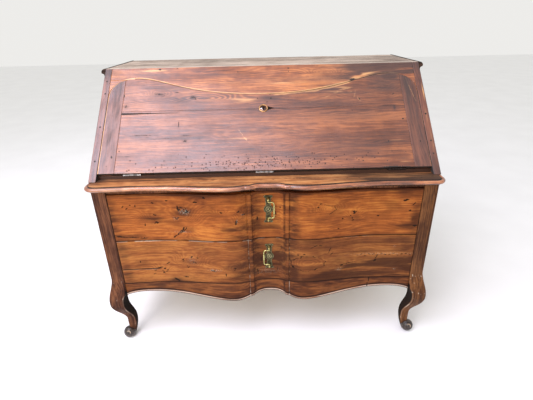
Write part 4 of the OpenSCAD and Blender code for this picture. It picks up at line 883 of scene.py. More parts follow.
def make_stiles():
    """The blocks in the rail's corners, and the stiles, cut level with the top at their upper ends."""
    for side, word in SIDES:
        board(word + "_block_face", "case", RAIL, "lid_wood", stations(SIDE_S + 4, BLOCK_S, 3),
              lambda t: lid_side(t) + LID_GAP, constant(INNER_X - 0.3), level(0), constant(-RAIL_T),
              up_slope(side), [word + "_corner_block"], edge_r=0.6, rows=2.5, grime=(0.2, 0.3, 0.3, 0.3))

        def stile_marks(t, v, side=side):
            dark = 0.3 * unit(ripple(t, v, 200, 40, 17 + side)) + 0.7 * hump(t - 455, 30)
            dark = dark + (0.1 + 0.5 * fall(t, 150, 150) if side > 0 else 0)
            return {"dark": unit(dark), "pale": unit(blots(t, v, STILE_GOLD[side])),
                    "mark": 0.75 * hump(v - INNER_X, 1.2)}
        board(word + "_stile_face", "case", CLEAT, "lid_wood", stations(0, SLOPE_LEN, 5), constant(INNER_X),
              constant(HALF), lambda t, v: 0.25 * ripple(t, v, 260, 50, 9), constant(-RAIL_T),
              up_slope(side, LEAN_BACK), [word + "_stile"], edge_r=1.5, rows=2.5, marks=stile_marks,
              grime=(0.5, 0.6, 0.3, 0.5))


def make_top():
    """The top board, worn a little hollow, with a ragged back edge."""
    start = SLOPE_LEN * math.cos(SLANT) + RAIL_T / math.sin(SLANT)

    def top_marks(t, v):
        dark = 0.1 * rise(t, 150, 400) + blots(t, v, TOP_STAINS) + 0.3 * unit(ripple(t, v, 200, 200, 23))
        return {"dark": unit(dark) * 0.6}
    board("top_board_face", "case", BLEACHED, "pale_top", stations(-HALF, HALF, 8), constant(start),
          lambda t: BACK - FRONT - 1.2 * np.abs(ripple(t, 0 * t, 60, 1, 31)),
          lambda t, v: -0.6 * np.abs(ripple(t, v, 300, 200, 12)), constant(-TOP_T),
          flat(TOP), ["top_board"], edge_r=2.5, rows=8, marks=top_marks, grime=(0.6, 0.25, 0.5, 0.5))


# A turned end's distance from its axis, the pegs' radius, and each peg's side and share of the way up
POLE = 0.01
PEG_R = 3.5
PEG_PLACES = [(-1, 0.17), (-1, 0.459), (-1, 0.76), (-1, 0.877), (1, 0.172), (1, 0.278), (1, 0.51)]


def make_pegs():
    """Pegs through the stiles, each a plug with a slightly domed, rubbed head."""
    profile = [(POLE, 0.9), (PEG_R * 0.6, 0.8), (PEG_R * 0.95, 0.35), (PEG_R, -0.5), (PEG_R, -20),
               (POLE, -20)]
    for number, (side, share) in enumerate(PEG_PLACES):
        place = slope_point(side * (HALF + INNER_X) / 2, share * SLOPE_LEN)
        lathe(f"peg_{number + 1}", profile, place, SLOPE_OUT, "case", HEADS, ["stile_pegs"],
              around=20)


def make_keyhole():
    """The brass ring round the keyhole, the lock plate inside it, the key's pin, and thin dark pieces of
    painted shade that stand for the key slot and the pointed hole beside it.
    """
    key_x = 1
    centre = slope_point(key_x, KEY_S)
    ring = np.array([(16.8, 0), (16.8, 1.2), (15.8, 2.4), (14.2, 3.0), (12.6, 2.6), (11.6, 1.4), (11.2, -1.5),
                     (12.5, -2), (16, -2)])
    angle = np.linspace(0, 2 * np.pi, 64, endpoint=False)[:, None, None]
    spoke = np.cos(angle) * np.array([1.0, 0, 0]) + np.sin(angle) * np.array(SLOPE_UP)
    rings = centre + ring[None, :, :1] * spoke + ring[None, :, 1:] * np.array(SLOPE_OUT)
    loft("keyhole_ring_turned", rings, "lid", GOLD, None, ["keyhole_ring"], closed_path=True)
    lathe("lock_plate", [(POLE, 0.5), (11.6, 0.45), (11.6, -1), (POLE, -1)], centre, SLOPE_OUT, "lid",
          LOCK_FACE)
    lathe("key_pin", [(POLE, 1.6), (2.4, 1.4), (3.3, 0.9), (3.5, -1), (POLE, -1)],
          slope_point(key_x - 7.3, KEY_S - 1), SLOPE_OUT, "lid", STEEL, around=20)

    def slot_half(t):
        """Half width of the key slot: round at the top, straight below."""
        up = t - KEY_S
        return np.maximum(np.sqrt(np.maximum(4.8 ** 2 - (up - 3.5) ** 2, 0)), 3.2 * fall(up, 9, 2))
    # Painted shade: the key slot and the pointed hole are thin dark pieces laid on the lid.
    board("key_slot", "lid", HOLE_SHADE, "iron", stations(KEY_S - 8, KEY_S + 8.3, 0.7), lambda t: -slot_half(t),
          slot_half, level(0.8), constant(-1), lambda t, v, d: on_slope(key_x + 0.5 + v, t, d), edge_r=0.2,
          rows=1)
    tip_x, taper = 41, 0.33
    board("pointed_hole", "lid", HOLE_SHADE, "iron", stations(15, tip_x, 1), lambda t: KEY_S - (tip_x - t) * taper,
          lambda t: KEY_S + (tip_x - t) * taper, level(0.5), constant(-1), on_slope, edge_r=0.2, rows=2)


# The ledge and its bead: how far the plank's edge stands out, its back edge, and its corners' radius
BEAD_R = 6.5
BEAD_DROP = 7.5
LEDGE_IN = 56 - 2 * BEAD_R
LEDGE_BACK = 70
LEDGE_CORNER = 22
LEDGE_DARK = [(530, 0, 190, 44, 2.2), (150, -8, 40, 14, 0.8), (-575, 10, 40, 40, 0.6),
              (-20, 4, 250, 8, 0.3), (-330, 10, 160, 6, 0.35), (60, -26, 60, 5, 0.4)]
LEDGE_GOLD = [(560, 0, 16, 8, 0.5), (420, -10, 60, 5, 0.3), (-200, -20, 200, 7, 0.4), (250, -16, 90, 6, 0.5)]
LEDGE_SWIRLS = [(140, -8, 50, 14, 1.0), (-300, -8, 120, 12, 0.6)]
LEDGE_NICKS = [(-300 + 41 * n, -12 + 14 * math.sin(2.7 * n), 3 + 2 * math.sin(n), 1.4, 40 * math.sin(1.9 * n))
               for n in range(22)]


def ledge_line(x):
    """Depth of the front ledge plank's edge behind the post fronts, with its rounded corners."""
    plain = front_line(x) * (np.abs(x) < BAY_X) - LEDGE_IN
    over = unit((np.abs(x) - (PLANK_X - LEDGE_CORNER)) / LEDGE_CORNER)
    return plain + LEDGE_CORNER * (1 - np.sqrt(np.maximum(1 - over ** 2, 0)))


def ledge_marks(t, v):
    """Painted shade towards the back of the plank, under the lid, with a black line in the corner by the
    riser;
    grime at the ends; a knot right of the middle; and a black line of painted shade in the quirk at the bead.
    """
    inward = v - ledge_line(t)
    # Painted shade: darker towards the back under the lid and at the quirk by the bead; also darker towards
    # the right.
    dark = blots(t, v, LEDGE_DARK) + 0.35 * rise(t, 180, 340) + 0.3 * rise(v, 4, 16)
    dark = dark + 0.2 * unit(ripple(t, v, 120, 20, 41)) + 0.8 * hump(inward - 1, 2.2)
    mark = np.max([0.85 * strokes(t, v, LEDGE_NICKS, 42), 0.95 * hump(inward - 1.2, 1.5),
                   0.9 * hump(v - RISER_Y + FRONT + 1, 2)], 0)
    return {"dark": unit(dark), "figure": blots(t, v, LEDGE_SWIRLS), "mark": mark,
            "pale": unit(blots(t, v, LEDGE_GOLD))}


def bead_path():
    """The bead's way round the chest, in plan: up the left side, along the front's serpentine, and back."""
    turn = np.radians(np.linspace(4, 90, 14))
    inner_x = PLANK_X - LEDGE_CORNER
    corner = np.stack([np.sin(turn), 1 - np.cos(turn)], -1) * LEDGE_CORNER + [inner_x, -LEDGE_IN]
    side_y = np.linspace(corner[-1, 1] + 4, BACK - FRONT, 60)
    end = np.vstack([corner, np.stack([PLANK_X + 0 * side_y, side_y], -1)])
    x = stations(-inner_x, inner_x, 4, RIDGE_LINES)
    front = np.stack([x, ledge_line(x) - 0.6 * ridge(x)], -1)
    return np.vstack([end[::-1] * [-1, 1], front, end])


def make_ledge():
    """The front plank, and the half-round bead carried along its path, a little worn and wavy."""
    board("front_ledge_plank", "case", PLANK, "front_walnut", stations(-PLANK_X, PLANK_X, 4), ledge_line,
          constant(LEDGE_BACK), lambda t, v: -0.2 + 0.2 * ripple(t, v, 300, 60, 44),
          constant(LEDGE_LOW - LEDGE), flat(LEDGE), ["front_ledge"], edge_r=1.0, rows=3, marks=ledge_marks,
          grime=(0.4, 0.8, 0.8, 0.9))
    path = bead_path()
    along = np.gradient(path, axis=0)
    along /= np.linalg.norm(along, axis=1)[:, None]
    out = np.stack([along[:, 1], -along[:, 0]], -1)
    round_part = [(BEAD_R + BEAD_R * math.cos(a), -BEAD_DROP + BEAD_R * math.sin(a))
                  for a in np.radians(np.arange(130, -91, -20))]
    section = np.array([(0, -1.5), (0.6, -2.6), (1.4, -2.9), *round_part, (BEAD_R, -14), (0, -14)])[::-1]
    length = np.concatenate([[0], np.cumsum(np.linalg.norm(np.diff(path, axis=0), axis=1))])[:, None]
    reach = section[:, 0] * (1 - 0.05 * np.abs(ripple(length, 0 * length, 130, 1, 51)))
    lift = section[:, 1] + 0.25 * ripple(length, 0 * length, 200, 1, 52)
    rings = np.stack([path[:, :1] + out[:, :1] * reach, FRONT + path[:, 1:] + out[:, 1:] * reach,
                      LEDGE + lift], -1)
    # Painted shade: the bead's wall by the quirk is darkened and marked black.
    quirk_shade = (section[:, 0] < 1.5) + 0 * reach
    dark = 0.4 * unit(ripple(length, 0 * length, 160, 1, 54)) + 0.8 * quirk_shade
    loft("ledge_bead_run", rings, "case", BEAD, {"dark": unit(dark), "mark": 0.9 * quirk_shade},
         ["ledge_bead"])


# The drawers' marks, with v from the floor. Knots: (t, v, half length, half width, turn, number of cracks).
# Nicks are strokes, and swirls, stains and dust are blots.
UPPER = {
    "knots": [(-289, 589, 20, 13, -25, 18), (-316, 558, 12, 8, -30, 8), (-307, 500, 34, 4, 40, 13),
              (-391, 571, 12, 3, 0, 5), (-390, 539, 8, 5, 0, 5), (-155, 583, 7, 4, 10, 4),
              (308, 556, 8, 22, 0, 7)],
    "nicks": [(-497, 606, 5, 1.4, 45), (-485, 598, 5, 1.6, 40), (-471, 611, 3, 2, 0),
              (-454, 607, 1.2, 5, 0), (-393, 618, 4, 1.8, -30), (-430, 533, 1.3, 7, 0),
              (-342, 626, 4, 2.2, 0), (-243, 622, 7, 2.6, 0), (-209, 639, 5, 3.2, -30),
              (-230, 655, 4, 2.4, 0), (-77, 572, 6, 2.4, 0), (-104, 542, 3.2, 9, -15),
              (-95, 585, 5, 2.2, 30), (-522, 487, 15, 2.2, -8), (-480, 483, 28, 1.2, -3),
              (-440, 477, 15, 1.2, 4), (315, 565, 8, 1.8, 40), (272, 544, 3.5, 2.2, 0),
              (399, 547, 3.5, 2.4, 0), (183, 595, 2.8, 2.2, 0), (191, 608, 4, 1.4, 0),
              (259, 505, 3, 1.8, 0), (509, 566, 4, 2.4, 0), (490, 607, 8, 3, 10), (520, 592, 7, 1.6, 50),
              (535, 505, 8, 3, 0), (222, 599, 22, 0.9, -12), (243, 588, 8, 0.9, -50),
              (236, 574, 16, 0.9, 35), (35, 566, 2.4, 5, 0), (-30, 548, 2, 7, 5), (52, 590, 3, 2, 0)],
    "swirls": [(-296, 560, 66, 46, 1.6), (-400, 556, 44, 30, 1.3), (-307, 500, 44, 20, -0.8),
               (-155, 583, 26, 16, 0.8), (222, 586, 44, 20, 1.4), (308, 556, 24, 26, 0.9),
               (-90, 560, 22, 34, 0.7)],
    "stains": [(-290, 580, 32, 22, 0.55), (-398, 556, 34, 24, 0.5), (-545, 560, 22, 70, 0.5),
               (-510, 484, 60, 9, 0.6), (-110, 500, 40, 40, 0.38), (-90, 650, 70, 16, 0.4),
               (-230, 648, 60, 9, 0.4), (534, 536, 15, 44, 0.95), (515, 502, 34, 11, 0.75),
               (99, 520, 20, 36, 0.5), (96, 610, 14, 40, 0.3), (0, 500, 60, 24, 0.3),
               (-36, 560, 20, 90, 0.35), (500, 640, 50, 14, 0.4)],
    "dust": [(-284, 583, 16, 9, 0.9), (-318, 556, 9, 6, 0.6), (-303, 503, 26, 3, 0.8),
             (-101, 548, 3, 5, 0.9), (-82, 573, 5, 3, 0.6)],
}
LOWER = {
    "knots": [(-278, 395, 9, 4, 10, 6), (-310, 379, 4, 7, -20, 4), (-269, 372, 8, 5, 0, 5),
              (-296, 353, 6, 4, 0, 4), (-385, 335, 10, 12, 0, 8), (-199, 339, 18, 4, -15, 7),
              (-118, 350, 6, 7, 0, 5), (278, 346, 6, 5, 0, 5)],
    "nicks": [(-256, 393, 5, 1.8, 0), (-403, 348, 11, 1.6, 10), (-370, 367, 7, 1.6, 30),
              (-421, 336, 4, 2.2, 0), (-426, 320, 5, 1.3, 10), (-153, 322, 1.6, 6, 0),
              (-472, 376, 1.6, 4, 0), (-308, 305, 8, 2.2, 0), (-344, 292, 10, 3, -35),
              (115, 402, 4.5, 1.4, 0), (137, 406, 4, 1.8, 0), (172, 436, 12, 1, 25), (196, 440, 8, 1, -20),
              (232, 417, 1.4, 11, -20), (240, 400, 7, 1.3, 45), (300, 352, 26, 1.1, 10),
              (406, 358, 5, 3.2, 30), (410, 372, 8, 1.2, 60), (40, 330, 9, 1, 80), (-20, 372, 1.2, 10, 0),
              (-34, 322, 1.4, 12, 8)]
             + [(338 + 15 * n, 384 + 4 * math.sin(2.3 * n), 4.5, 1.3, 30 * math.sin(1.7 * n))
                for n in range(14)],
    "swirls": [(-285, 375, 50, 40, 1.5), (-385, 340, 40, 26, 1.1), (-199, 339, 46, 24, 1.3),
               (-118, 350, 26, 22, 0.9), (151, 364, 60, 30, 1.3), (278, 346, 60, 30, 1.2),
               (440, 340, 90, 40, 0.9)],
    "stains": [(-528, 318, 18, 34, 0.6), (-344, 292, 24, 12, 0.6), (-530, 420, 20, 40, 0.35),
               (-100, 330, 40, 60, 0.32), (500, 345, 70, 34, 0.55), (92, 320, 22, 50, 0.45),
               (0, 345, 52, 36, 0.62), (-40, 400, 14, 60, 0.5), (46, 400, 14, 70, 0.5),
               (520, 410, 30, 30, 0.4)],
    "dust": [(-196, 341, 20, 5, 0.9), (-276, 380, 14, 14, 0.3), (271, 329, 9, 5, 0.8),
             (483, 317, 5, 3, 0.9), (473, 419, 4, 3, 0.9), (440, 388, 110, 5, 0.4), (0, 322, 40, 14, 0.3)],
}
# The lower drawer's split, the wave over its heartwood, and its dark ring
SPLIT_START_X, SPLIT_END_X, SPLIT_Z = -546, -380, 344
HEARTWOOD_X = [100, 152, 230, 303, 360, 420, 546]
HEARTWOOD_Z = [290, 308, 322, 348, 362, 366, 372]
RING_X, RING_Z, RING_HALF_W, RING_HALF_H = 151, 364, 62, 31
DRAWER_T = 32
APRON_T = 30


def drawer_marks(plan, z, seed, gloom, lip):
    """The fields of a drawer front: swirls round knots, stains, cracks, the ridges' dirt and the worn edges.

    gloom is how dark its middle and its right half are, and lip how bright the painted highlight along its
    upper edge is; a drawer with no such highlight gets painted shade along its top, for the shade of the
    ledge.
    """
    cracks = cracked(plan["knots"], seed) + plan["nicks"]

    def marks(t, v):
        q = off_middle(t)
        dark = 0.22 * unit(ripple(t, v, 160, 70, seed)) + 2.0 * blots(t, v, plan["stains"])
        # Painted shade: dark lines at the ridges' inner grooves and inside their outer edges.
        dark = dark + 1.6 * hump(q - RIDGE_X + 2, 3) + 0.7 * hump(q - RIDGE_END + 1, 2)
        dark = dark + 0.3 * hump(q - RIDGE_X - RIDGE_W / 2, 7)
        dark = dark + 0.45 * fall(q, 120, 45) * (q > 75) + 0.35 * fall(v, z[0] + 14, 14)
        dark = dark + gloom * (fall(q, RIDGE_X + 10, 8) + 0.45 * smooth(t / 100) * (q > RIDGE_X))
        # Painted shade along the top of a drawer that the ledge shades.
        if lip == 0:
            dark = dark + 1.3 * rise(v, z[1] - 9, 5)
        # Painted highlights: a pale line outside each ridge and, by lip, along the upper edge, broken up and
        # weaker to the right.
        glint_breaks = smooth(ripple(t, v, 60, 60, seed + 1) + 1.1) * (1 - 0.5 * smooth(t / 200))
        pale = ((0.3 + 0.5 * lip) * hump(q - RIDGE_END - 1, 1.6) + lip * rise(v, z[1] - 2.6, 1.6)) * glint_breaks
        # Painted shade: black along the lower edge and the ends, where the gaps are.
        gap_shade = np.maximum(fall(v, z[0] + 2.4, 1.2), rise(np.abs(t), DRAWER_X - 2.2, 1.2))
        return {"dark": 1 - np.exp(-1.5 * np.maximum(dark, 0)), "pale": unit(pale),
                "mark": np.maximum(strokes(t, v, cracks, seed + 3), gap_shade),
                "figure": blots(t, v, plan["swirls"]), "dust": unit(0.7 * blots(t, v, plan["dust"]))}
    return marks


def lower_drawer_marks():
    """Adds what only the lower drawer has.

    A long thin split with a pale lip below it runs in from the left. The heartwood of the right half is
    darker below a wave that climbs to the right, and a dark oval ring lies right of the middle.
    """
    plain = drawer_marks(LOWER, LOWER_Z, seed=70, gloom=0.72, lip=0.45)

    def marks(t, v):
        got = plain(t, v)
        share = rise(t, SPLIT_START_X, 6) * fall(t, SPLIT_END_X, 40)
        split = share * smooth(2 - np.abs(v - SPLIT_Z) / 1.5)
        wave = np.interp(t, HEARTWOOD_X, HEARTWOOD_Z)
        under = fall(v, wave + 8 + 6 * ripple(t, v, 70, 14, 75), 30) * rise(t, 90, 60)
        away = np.hypot((t - RING_X) / RING_HALF_W, (v - RING_Z) / RING_HALF_H) - 1
        ring = hump((away - 0.10 * ripple(t, v, 40, 30, 76)) * RING_HALF_H, 1.3)
        got["mark"] = np.max([got["mark"], split, 0.85 * ring], 0)
        got["pale"] = np.maximum(got["pale"], 0.5 * share * hump(v - SPLIT_Z + 3.4, 1.4))
        got["dark"] = unit(got["dark"] + 0.46 * under)
        return got
    return marks


def drawer_face(word, material, z, marks, seed):
    """A drawer's serpentine front with its ridges and with its cracks sunk a little."""
    def relief(t, v):
        waves = 0.35 * ripple(t, v, 300, 120, seed)
        return -front_line(t) + ridge(t) + waves - 0.5 * marks(t, v)["mark"]
    board(word + "_drawer_face", word + "_drawer", material, "front_walnut",
          stations(-DRAWER_X, DRAWER_X, 2.2, RIDGE_LINES), constant(z[0]), constant(z[1]), relief,
          constant(-DRAWER_T), upright, [word + "_drawer_front"], edge_r=1.6, rows=2, marks=marks,
          grime=(0.9, 0.3, 0.75, 0.75))


def make_drawers():
    """Both drawer fronts; the lower one is darker and has a painted highlight along its upper edge, and the
    upper one painted shade along its top.
    """
    drawer_face("upper", DRAWER, UPPER_Z, drawer_marks(UPPER, UPPER_Z, seed=60, gloom=0.14, lip=0), seed=62)
    drawer_face("lower", LOW_DRAWER, LOWER_Z, lower_drawer_marks(), seed=72)


# The apron's lower edge, from the middle to the post: distance off the middle, height
APRON_LINE = np.vstack([
    bezier([[0, 230], [59.9, 230], [74.5, 200], [133, 200]]),
    bezier([[133, 200], [214.75, 200], [348.8, 240], [460, 240]]),
    bezier([[460, 240], [503.5, 240], [533, 233], [547, 225]])])


def apron_low(x):
    """Height of the apron's lower edge."""
    return np.interp(off_middle(x), APRON_LINE[:, 0], APRON_LINE[:, 1])


def make_apron():
    """The apron with the carved bead that follows its arched lower edge, a painted highlight on the bead and
    painted shade beside it.
    """
    def relief(t, v):
        up = v - apron_low(t)
        bead = 1.6 * rise(up, -1.4, 2) * fall(up, 8, 3) - 1.0 * hump(up - 9, 1.8)
        return -front_line(t) + ridge(t) - 1.2 + bead + 0.3 * ripple(t, v, 200, 60, 81)

    def marks(t, v):
        up = v - apron_low(t)
        q = off_middle(t)
        # Painted shade in the groove over the bead and in the ridges' inner grooves; darker along the top.
        dark = 0.2 + 0.4 * unit(ripple(t, v, 120, 40, 82)) + 0.9 * hump(up - 11, 3)
        dark = (dark + 0.8 * rise(v, APRON_TOP - 5, 4) + 0.8 * hump(q - RIDGE_X + 2, 3)) * rise(up, 5, 3)
        crack_x = np.interp(v, [200, 236, 250, 262], [384, 388, 386, 391])
        crack = hump(t - crack_x, 1.6) + 0.5 * hump(t - 306, 1.2)
        # Painted highlights on the bead and outside each ridge; black marks for the cracks, and painted shade
        # in the groove over the bead and along the lowest edge.
        pale = 0.9 * hump(up - 4.9, 2.1) + 0.6 * hump(q - RIDGE_END - 1, 1.8)
        mark = np.max([crack, 0.95 * hump(up - 9.4, 1.8), fall(up, 2.8, 0.6)], 0)
        return {"dark": unit(dark), "pale": unit(pale), "mark": mark}
    board("apron_face", "case", APRON, "dark_walnut", stations(-BAY_X, BAY_X, 4, RIDGE_LINES), apron_low,
          constant(APRON_TOP), relief, constant(-APRON_T), upright, ["apron"], edge_r=1, rows=2, marks=marks,
          grime=(0, 0.6, 0.5, 0.5))


# The legs' outline: (height, how far the face stands out of the post's outer face)
LEG_START = 300
POST_W = 48
KNEE_OUT, KNEE_IN = 21, -36
ANKLE_Z, ANKLE_OUT, ANKLE_IN = 85, -17, -52
TOE_IN = 18
LEG_OUT = np.vstack([
    bezier([[LEG_START, 0], [262, KNEE_OUT * 0.2], [235, KNEE_OUT], [197, KNEE_OUT]]),
    bezier([[197, KNEE_OUT], [150, KNEE_OUT], [125, ANKLE_OUT], [ANKLE_Z, ANKLE_OUT]]),
    bezier([[ANKLE_Z, ANKLE_OUT], [70, ANKLE_OUT], [42, -TOE_IN], [24, -TOE_IN]]), [[0, -TOE_IN - 2]]])[::-1]
LEG_IN = np.vstack([
    bezier([[LEG_START, -POST_W], [280, -POST_W], [242, -POST_W], [233, -POST_W + 2]]),
    bezier([[233, -POST_W + 2], [222, KNEE_IN - 3], [211, KNEE_IN], [190, KNEE_IN]]),
    bezier([[190, KNEE_IN], [150, KNEE_IN], [125, ANKLE_IN], [ANKLE_Z, ANKLE_IN]]),
    bezier([[ANKLE_Z, ANKLE_IN], [60, ANKLE_IN], [24, -TOE_IN - 28], [0, -TOE_IN - 16]])])[::-1]


def leg_rings(z, front):
    """Rings of the cabriole leg: at each height a rounded rectangle between its inner and its outer face.

    A front leg is as deep as it is wide, and a back leg is never deeper than its post. Gives the rings'
    places across and in depth, the middle between the faces, and the half width and half depth.
    """
    out = np.minimum(np.interp(z, LEG_OUT[:, 0], LEG_OUT[:, 1]), KNEE_OUT - 0.25)
    inn = np.interp(z, LEG_IN[:, 0], LEG_IN[:, 1])
    half = ((out - inn) / 2)[:, None]
    deep = half if front else np.minimum(half, POST_W / 2)
    z = z[:, None]
    r = np.where(z >= LEG_START, 3.0, np.minimum(np.minimum(9.0, half - 1), 3 + (LEG_START - z) * 0.12))
    line = np.linspace(-1, 1, 22)[None, :]
    turn = np.linspace(0, np.pi / 2, 7)[None, 1:-1]
    a_parts, b_parts = [], []
    for quarter, (c, s) in enumerate(((1, 0), (0, 1), (-1, 0), (0, -1))):
        along, across = (half, deep) if quarter % 2 == 0 else (deep, half)
        a = np.concatenate([line * (along - r), along - r + r * np.sin(turn)], 1)
        b = np.concatenate([-across + 0 * line, -across + r - r * np.cos(turn)], 1)
        a_parts.append(a * c - b * s)
        b_parts.append(a * s + b * c)
    return np.concatenate(a_parts, 1), np.concatenate(b_parts, 1), ((out + inn) / 2)[:, None], half, deep


def make_leg(word, side, front):
    """A post and leg in one, with the carved edge that goes on from the apron's bead down its inner side."""
    z = np.concatenate([np.linspace(0, 30, 16), np.linspace(33, LEG_START, 96),
                        np.linspace(LEG_START + 6, LEG_TOP, 50)])
    a, b, middle, half, deep = leg_rings(z, front)
    z = z[:, None] + 0 * a
    inner_gap = a + half
    carved = (b < -deep * 0.75) * fall(z, 240, 12) * rise(z, 34, 20)
    edge = carved * (1.3 * smooth(inner_gap / 2) * fall(inner_gap, 9, 3) - 0.9 * hump(inner_gap - 10.5, 1.8))
    wobble = 0.35 * ripple(z, a * 3 + b * 2, 120, 130, 90 + (side > 0))
    b = b - edge - wobble * (b < 0)
    b = b if front else np.maximum(b, -deep)
    y = b - middle if front else BACK - FRONT - deep - b
    rings = np.stack([side * (HALF + middle + a), y + FRONT, z], -1)
    # Painted shade on the inner side of the upper leg and in the carved edge's groove, with black lines at
    # both; a painted highlight on the carved edge's bead. The scuffs are wear.
    inner_side = (a < -half * 0.93) * fall(z, 262, 20)
    dark = (0.0 if side > 0 else 0.3) * fall(z, 260, 80) + 0.6 * hump(inner_gap - 10.5, 2) * carved
    dark = dark + 0.3 * unit(ripple(z, a + b, 90, 60, 95)) + 0.5 * fall(z, 60, 50) + 0.6 * inner_side
    scuffs = (0.8 if side > 0 else 0.5) * smooth(ripple(z, a + 2 * b, 26, 14, 97) - 0.9) * fall(z, 330, 60)
    pale = 0.5 * hump(inner_gap - 3.5, 2.0) * carved + scuffs
    mark = np.maximum(0.8 * inner_side * (inner_gap < 1.5), 0.6 * hump(inner_gap - 9, 1.2) * carved)
    loft(word + "_leg_carved", rings, "case", GOLDEN_POST if side > 0 and front else POST,
         {"dark": unit(dark), "pale": unit(pale), "mark": mark}, [word + "_leg"])


# The toe's radius, its middle's height, and how far its axis is tipped up
TOE_R = 24.0
TOE_Z = 23
TOE_LIFT = math.radians(24)


def make_toe(word, side, front):
    """The scrolled toe: a ball, flattened a little, whose outward face has a whorl cut round a raised eye.

    A point is given by its angles phi off the ball's own axis and theta round it. The axis points out of the
    desk and up by TOE_LIFT, and whatever would reach under the floor is held on it.
    """
    phi = np.linspace(0.0005, np.pi - 0.0005, 60)[:, None]
    theta = np.linspace(0, 2 * np.pi, 72, endpoint=False)[None, :]
    rho = TOE_R * np.sin(phi)
    outward = phi < 1.3
    whorl = 3.5 + 2.6 * ((side * theta) % (2 * np.pi)) / 1.6
    groove = (1.7 * hump(rho - whorl, 1.3) + 1.4 * hump(rho - whorl - 10.2, 1.6)) * outward
    reach = TOE_R * 0.92 * np.cos(phi) - groove * np.cos(phi) + 1.8 * hump(rho, 2.6) * outward + 0 * theta
    radial = rho - groove * np.sin(phi) * 0.6 + 0 * theta
    up = radial * np.sin(theta)
    ahead = reach * math.cos(TOE_LIFT) - up * math.sin(TOE_LIFT)
    x = side * (HALF - TOE_IN) + radial * np.cos(theta)
    y = FRONT + TOE_IN - ahead if front else BACK - TOE_R + ahead
    z = np.maximum(TOE_Z + reach * math.sin(TOE_LIFT) + up * math.cos(TOE_LIFT), 0)
    # Painted shade: black in the whorl's groove and on the eye.
    cut = np.maximum(0.8 * smooth(groove / 1.4), hump(rho, 3.4)) * outward + 0 * reach
    rubbed = 0.9 * outward * hump(rho - 8, 2.2) * smooth(0.5 + 0.5 * np.sin(theta + 0.5)) + 0 * reach
    loft(word + "_toe_scroll", np.stack([x, y, z], -1), "case", TOE,
         {"mark": cut, "pale": rubbed})


def make_legs():
    """Four legs and their toes."""
    for end, front in (("front", True), ("back", False)):
        for side, word in SIDES:
            make_leg(f"{end}_{word}", side, front)
            make_toe(f"{end}_{word}", side, front)


# The handles: their place, the plate, the bail's arm, reach, bend and thickness, and the posts' profile
HANDLE_X = 10
PIVOT_D = 4.5
PLATE_D = -7
PLATE_HALF = 54
POST_GAP = 80
BAIL_ARM, BAIL_REACH, BAIL_BEND, BAIL_R = 31.1, 20.0, 8.0, 2.2
POST_PROFILE = [(POLE, 15), (1.2, 14.8), (2.6, 14.0), (3.5, 12.7), (4.0, 11), (4.1, 9.6), (4.6, 7.5),
                (5.5, 5), (6, 3), (6, 2), (5.4, 0.8), (5.4, -0.3), (2.2, -0.4), (2.2, -36), (POLE, -36)]


def plate_half(t):
    """Half width of a handle plate: a round middle, a neck, and two ears at each end."""
    z = np.abs(t)
    middle = np.sqrt(np.maximum(16.5 ** 2 - z ** 2, 0))
    neck = 9.0 + 1.5 * rise(z, 20, 20)
    ears = 9.0 + 7.4 * hump(z - 48.5, 4.8)
    return np.max([middle, neck, ears], 0)


def make_plate(word, height):
    """The eared plate with its raised rim and ringed boss, and its ends drawn in between the ears."""
    def plate_face(t, v):
        rho = np.hypot(t, v)
        rim = 0.7 * hump(plate_half(t) - np.abs(v) - 1.3, 1.0)
        boss = 2.6 * hump(rho, 2.8) + 1.3 * hump(rho - 8.2, 1.5) + 0.5 * smooth(1 - rho / 14)
        return PLATE_D + 1.5 + rim + boss + 0.1 * ripple(t, v, 30, 20, 101)

    def plate_lay(t, v, d):
        draw_in = 5.5 * rise(np.abs(t), 40, 13) * (1 - np.clip(v / plate_half(t), -1, 1) ** 2)
        return np.stack([HANDLE_X + v, FRONT - d, height + t - np.sign(t) * draw_in], -1)

    def plate_marks(t, v):
        # Pale brass along the rim, and a painted highlight on the boss and its ring.
        rho = np.hypot(t, v)
        rim = 0.3 * hump(plate_half(t) - np.abs(v) - 1, 0.9)
        return {"pale": np.max([rim, 0.9 * hump(rho, 2.4), 0.45 * hump(rho - 8.2, 1.4)], 0)}
    board(word + "_handle_pressed", word + "_drawer", OLD_BRASS, "old_brass",
          stations(-PLATE_HALF, PLATE_HALF, 1), lambda t: -plate_half(t), plate_half, plate_face,
          constant(PLATE_D), plate_lay, [word + "_handle_plate"], edge_r=0.5, rows=0.9, marks=plate_marks)


def bail_line():
    """The bail's middle line as (reach, height): a slightly hollow arm, a round bend, the grip, and back."""
    corner = np.radians(np.linspace(90, 0, 12))[1:]
    share = np.linspace(0, 1, 14)
    bend_at = np.array([BAIL_REACH - BAIL_BEND, BAIL_ARM - BAIL_BEND])
    arm = np.stack([share * bend_at[0], BAIL_ARM - np.sin(np.pi * share)], -1)
    bend = bend_at + BAIL_BEND * np.stack([np.cos(corner), np.sin(corner)], -1)
    grip_z = np.linspace(bend_at[1], 0, 40)[1:]
    half = np.vstack([[[0, BAIL_ARM + 4.5], [0, BAIL_ARM + 2.4]], arm, bend,
                      np.stack([BAIL_REACH + 0 * grip_z, grip_z], -1)])
    return np.vstack([half, (half * [1, -1])[::-1][1:]])


